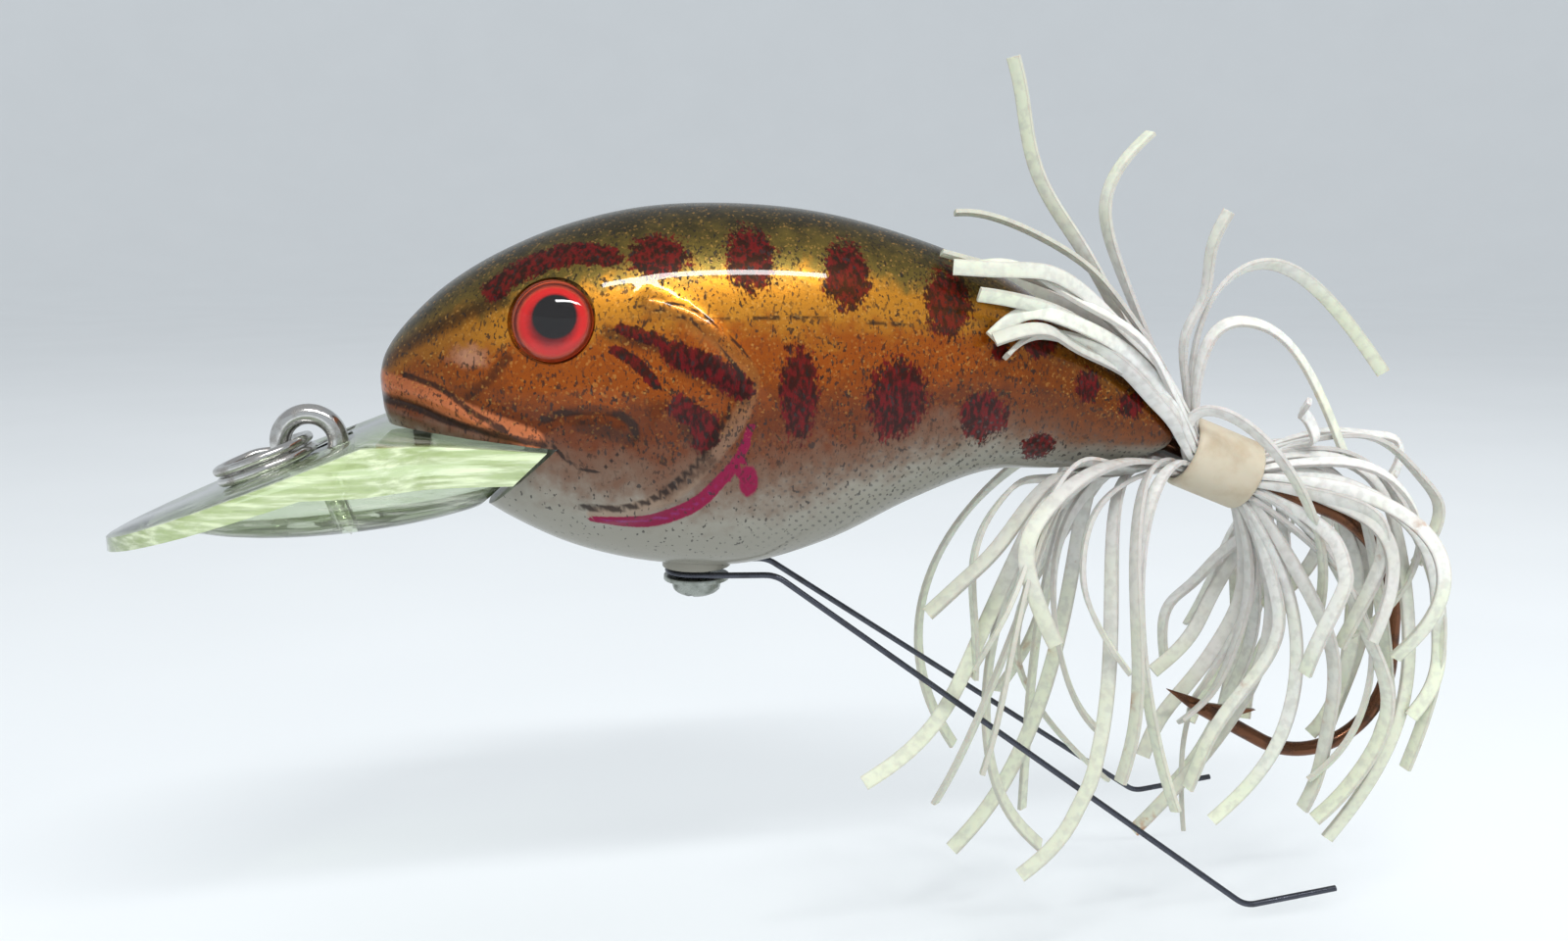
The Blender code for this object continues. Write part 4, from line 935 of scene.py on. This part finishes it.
def make_skirt(material):
    hook_path = hook_line()[0]
    legs = []
    for side in (-1, 1):
        bends = ((36.5, side * 3.0, -11.3), (73.9, side * 12.0, -38.2), (81.8, side * 12.0, -37.2))
        ends = [np.array(bend) for bend in bends]
        legs += [a + (b - a) * t for a, b in zip(ends, ends[1:]) for t in np.linspace(0, 1, 60)]
    obstacles = ((hook_path, HOOK_CLEARANCE), (np.array(legs), GUARD_CLEARANCE))
    rear = COLLAR_FRONT + AXIS * COLLAR_LENGTH
    rows = ((lying, OVER_TAIL + UPRIGHT), (drooping, DROOPING), (folded_back, FOLDED_BACK))
    fronts = ordered([way(*map(as_vector, row)) for way, group in rows for row in group], COLLAR_FRONT)
    rears = [arching(*map(as_vector, row)) for row in ARCHING]
    rears = ordered(rears + [falling(index) for index in range(FALLING)], rear)
    places = zip(ring_places(), fronts, rears)
    for number, ((angle, radius), front_end, rear_end) in enumerate(places, 1):
        outward = COLLAR_UP * math.cos(angle) + Vector((0, 1, 0)) * math.sin(angle)
        front_tip, front_leave, front_arrive = front_end
        rear_tip, rear_leave, rear_arrive = rear_end
        front = strand_curve(COLLAR_FRONT + outward * radius, front_leave + outward * 2.0, front_tip,
                             front_arrive, obstacles, True)
        back = strand_curve(rear + outward * radius, rear_leave + outward * 1.5, rear_tip, rear_arrive,
                            obstacles, False)
        path = np.vstack([front[::-1], back])
        along = np.concatenate([[0], np.cumsum(np.linalg.norm(np.diff(path, axis=0), axis=1))])
        free = np.maximum(along[len(front) - 1] - along, along - along[len(front)])
        full_width = STRAND_WIDTH * rng.uniform(0.88, 1.08)
        widths = SQUEEZED_WIDTH + (full_width - SQUEEZED_WIDTH) * np.clip(free / 7.0, 0, 1)
        twist = rng.uniform(-1.1, 1.1) * np.clip(free / 20, 0, 1) ** 1.3
        strand = ribbon(f"rubber_strand_{number:02d}", path, AXIS.cross(outward), widths, twist, material)
        keep_field(strand, "free", np.repeat(np.clip(free / 32, 0, 1), 8))
        keep_field(strand, "side", np.tile([0, 0, 1, 1, 0, 0, 1, 1], len(path)))
        keep_field(strand, "tone", np.full(len(path) * 8, rng.random() ** 2))
        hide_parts(f"skirt_strand_{number:02d}")
        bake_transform(strand)


def strand_finish():
    f = Finish("aged_rubber", Roughness=0.5, Subsurface_Weight=0.12, Subsurface_Scale=0.0006)
    free = f.field("free")
    age = f.step(free + (f.noise(0.22, 3) - 0.5) * 0.9, 0.25, 0.95)
    colour = f.mix(age, (0.70, 0.70, 0.675), (0.67, 0.71, 0.55))
    colour = f.mix(f.step(f.noise(1.4, 4), 0.42, 0.66) * 0.35, colour, (0.40, 0.39, 0.36))
    colour = f.mix(f.field("side") * 0.5, colour, (0.33, 0.30, 0.28))
    colour = f.mix(f.field("tone") * 0.4, colour, (0.34, 0.32, 0.29))
    rust = f.step(f.noise(0.16, 4), 0.63, 0.72) * f.step(f.noise(0.9, 3), 0.48, 0.62)
    colour = f.mix(rust * 0.75, colour, (0.36, 0.15, 0.05))
    f.set(Base_Color=colour, Roughness=0.42 + f.noise(3.0, 3) * 0.22,
          Normal=f.bump(f.noise(4.5, 4), 0.2, 0.05))
    return f.material


def collar_finish():
    f = Finish("collar_tube", Roughness=0.5, Subsurface_Weight=0.1, Subsurface_Scale=0.0008)
    stain = f.step(f.noise(0.5, 4), 0.4, 0.7)
    f.set(Base_Color=f.mix(stain, (0.53, 0.47, 0.36), (0.46, 0.38, 0.27)),
          Roughness=0.4 + f.noise(2.5, 3) * 0.2, Normal=f.bump(f.noise(3.0, 4), 0.2, 0.06))
    return f.material


# ---- studio ----
def make_studio():
    f = Finish("pale_floor", Roughness=0.85, Emission_Color=(0.86, 0.91, 0.95, 1), Emission_Strength=0.32)
    f.set(Base_Color=f.mix(f.noise(0.02, 2), (0.50, 0.52, 0.53), (0.54, 0.56, 0.57)),
          Normal=f.bump(f.noise(0.6, 3), 0.1, 0.2))
    profile = [(0.01, -46), (200, -46), (1100, -46)]
    profile += [(1100 + 400 * math.sin(a), 354 - 400 * math.cos(a))
                for a in np.linspace(0, math.pi / 2, 14)[1:]]
    profile.append((1500, 800))
    around = np.arange(96) * 2 * math.pi / 96
    bowl = [[(r * math.cos(a), r * math.sin(a), z) for a in around] for r, z in profile]
    rings_piece("pale_floor", bowl, f.material, caps=False)

    def panel(name, where, aim, size, power, shown):
        light = bpy.data.lights.new(name, "AREA")
        light.shape = "RECTANGLE"
        light.size, light.size_y = size[0] * MM, size[1] * MM
        light.energy = power
        obj = bpy.data.objects.new(name, light)
        bpy.context.scene.collection.objects.link(obj)
        obj.location = Vector(where) * MM
        obj.rotation_euler = (Vector(aim) - Vector(where)).to_track_quat("-Z", "Y").to_euler()
        obj.visible_glossy = shown

    panel("overhead_strip", (52, -200, 250), (36, 0, 8), (230, 20), 0.62, True)
    panel("top_softbox", (60, 60, 420), (40, 0, 0), (500, 420), 1.0, False)
    panel("front_fill", (-160, -420, 200), (35, 0, 0), (420, 320), 0.8, False)
    panel("right_fill", (420, -160, 120), (60, 0, -5), (260, 260), 0.6, False)
    world = bpy.data.worlds.new("studio")
    bpy.context.scene.world = world
    world.use_nodes = True
    world.node_tree.nodes["Background"].inputs["Color"].default_value = (0.86, 0.90, 0.95, 1)
    world.node_tree.nodes["Background"].inputs["Strength"].default_value = 0.46


def make_camera():
    camera = bpy.data.cameras.new("camera")
    camera.sensor_width = 36.0
    camera.lens = 32.47
    camera.clip_start = 0.005
    obj = bpy.data.objects.new("camera", camera)
    bpy.context.scene.collection.objects.link(obj)
    azimuth, elevation = math.radians(-8), math.radians(10)
    forward = Vector((-math.sin(azimuth) * math.cos(elevation), math.cos(azimuth) * math.cos(elevation),
                      -math.sin(elevation)))
    obj.location = Vector((21.55, -113.5, 17.0)) * MM
    obj.rotation_euler = forward.to_track_quat("-Z", "Y").to_euler()
    bpy.context.scene.camera = obj
    bpy.context.scene.view_settings.view_transform = "Standard"


def main():
    make_camera()
    make_studio()
    nickel = metal("nickel_plate", (0.66, 0.65, 0.63), (0.24, 0.22, 0.20), 0.16)
    zinc = metal("zinc_plate", (0.34, 0.36, 0.33), (0.10, 0.11, 0.09), 0.26)
    make_body(lure_paint())
    make_eyes(iris_finish(), lens_finish())
    make_lip(lip_finish())
    make_line_tie(nickel)
    make_split_ring(nickel)
    refined("belly_washer", "flat_washer", LURE, "zinc_steel", zinc)
    refined("belly_screw", "slotted_screw", LURE, "zinc_steel", zinc, 0)
    make_guard(metal("blued_wire", (0.085, 0.09, 0.11), (0.03, 0.03, 0.035), 0.26, 9.0, 0.95))
    make_hook(metal("bronze_finish", (0.16, 0.07, 0.038), (0.03, 0.016, 0.012), 0.20, 7.0, 0.95))
    refined("skirt_collar", "collar_tube", HOOK, "collar_rubber", collar_finish(), 0.1)
    make_skirt(strand_finish())
    inner = {"ballast_weight": metal("cast_lead", (0.30, 0.30, 0.32), (0.12, 0.12, 0.13), 0.5, 3.0, 0.9),
             "rattle_ball": nickel, "tail_pin": nickel}
    for node, material in inner.items():
        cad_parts[node].data.materials.clear()
        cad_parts[node].data.materials.append(material)


main()
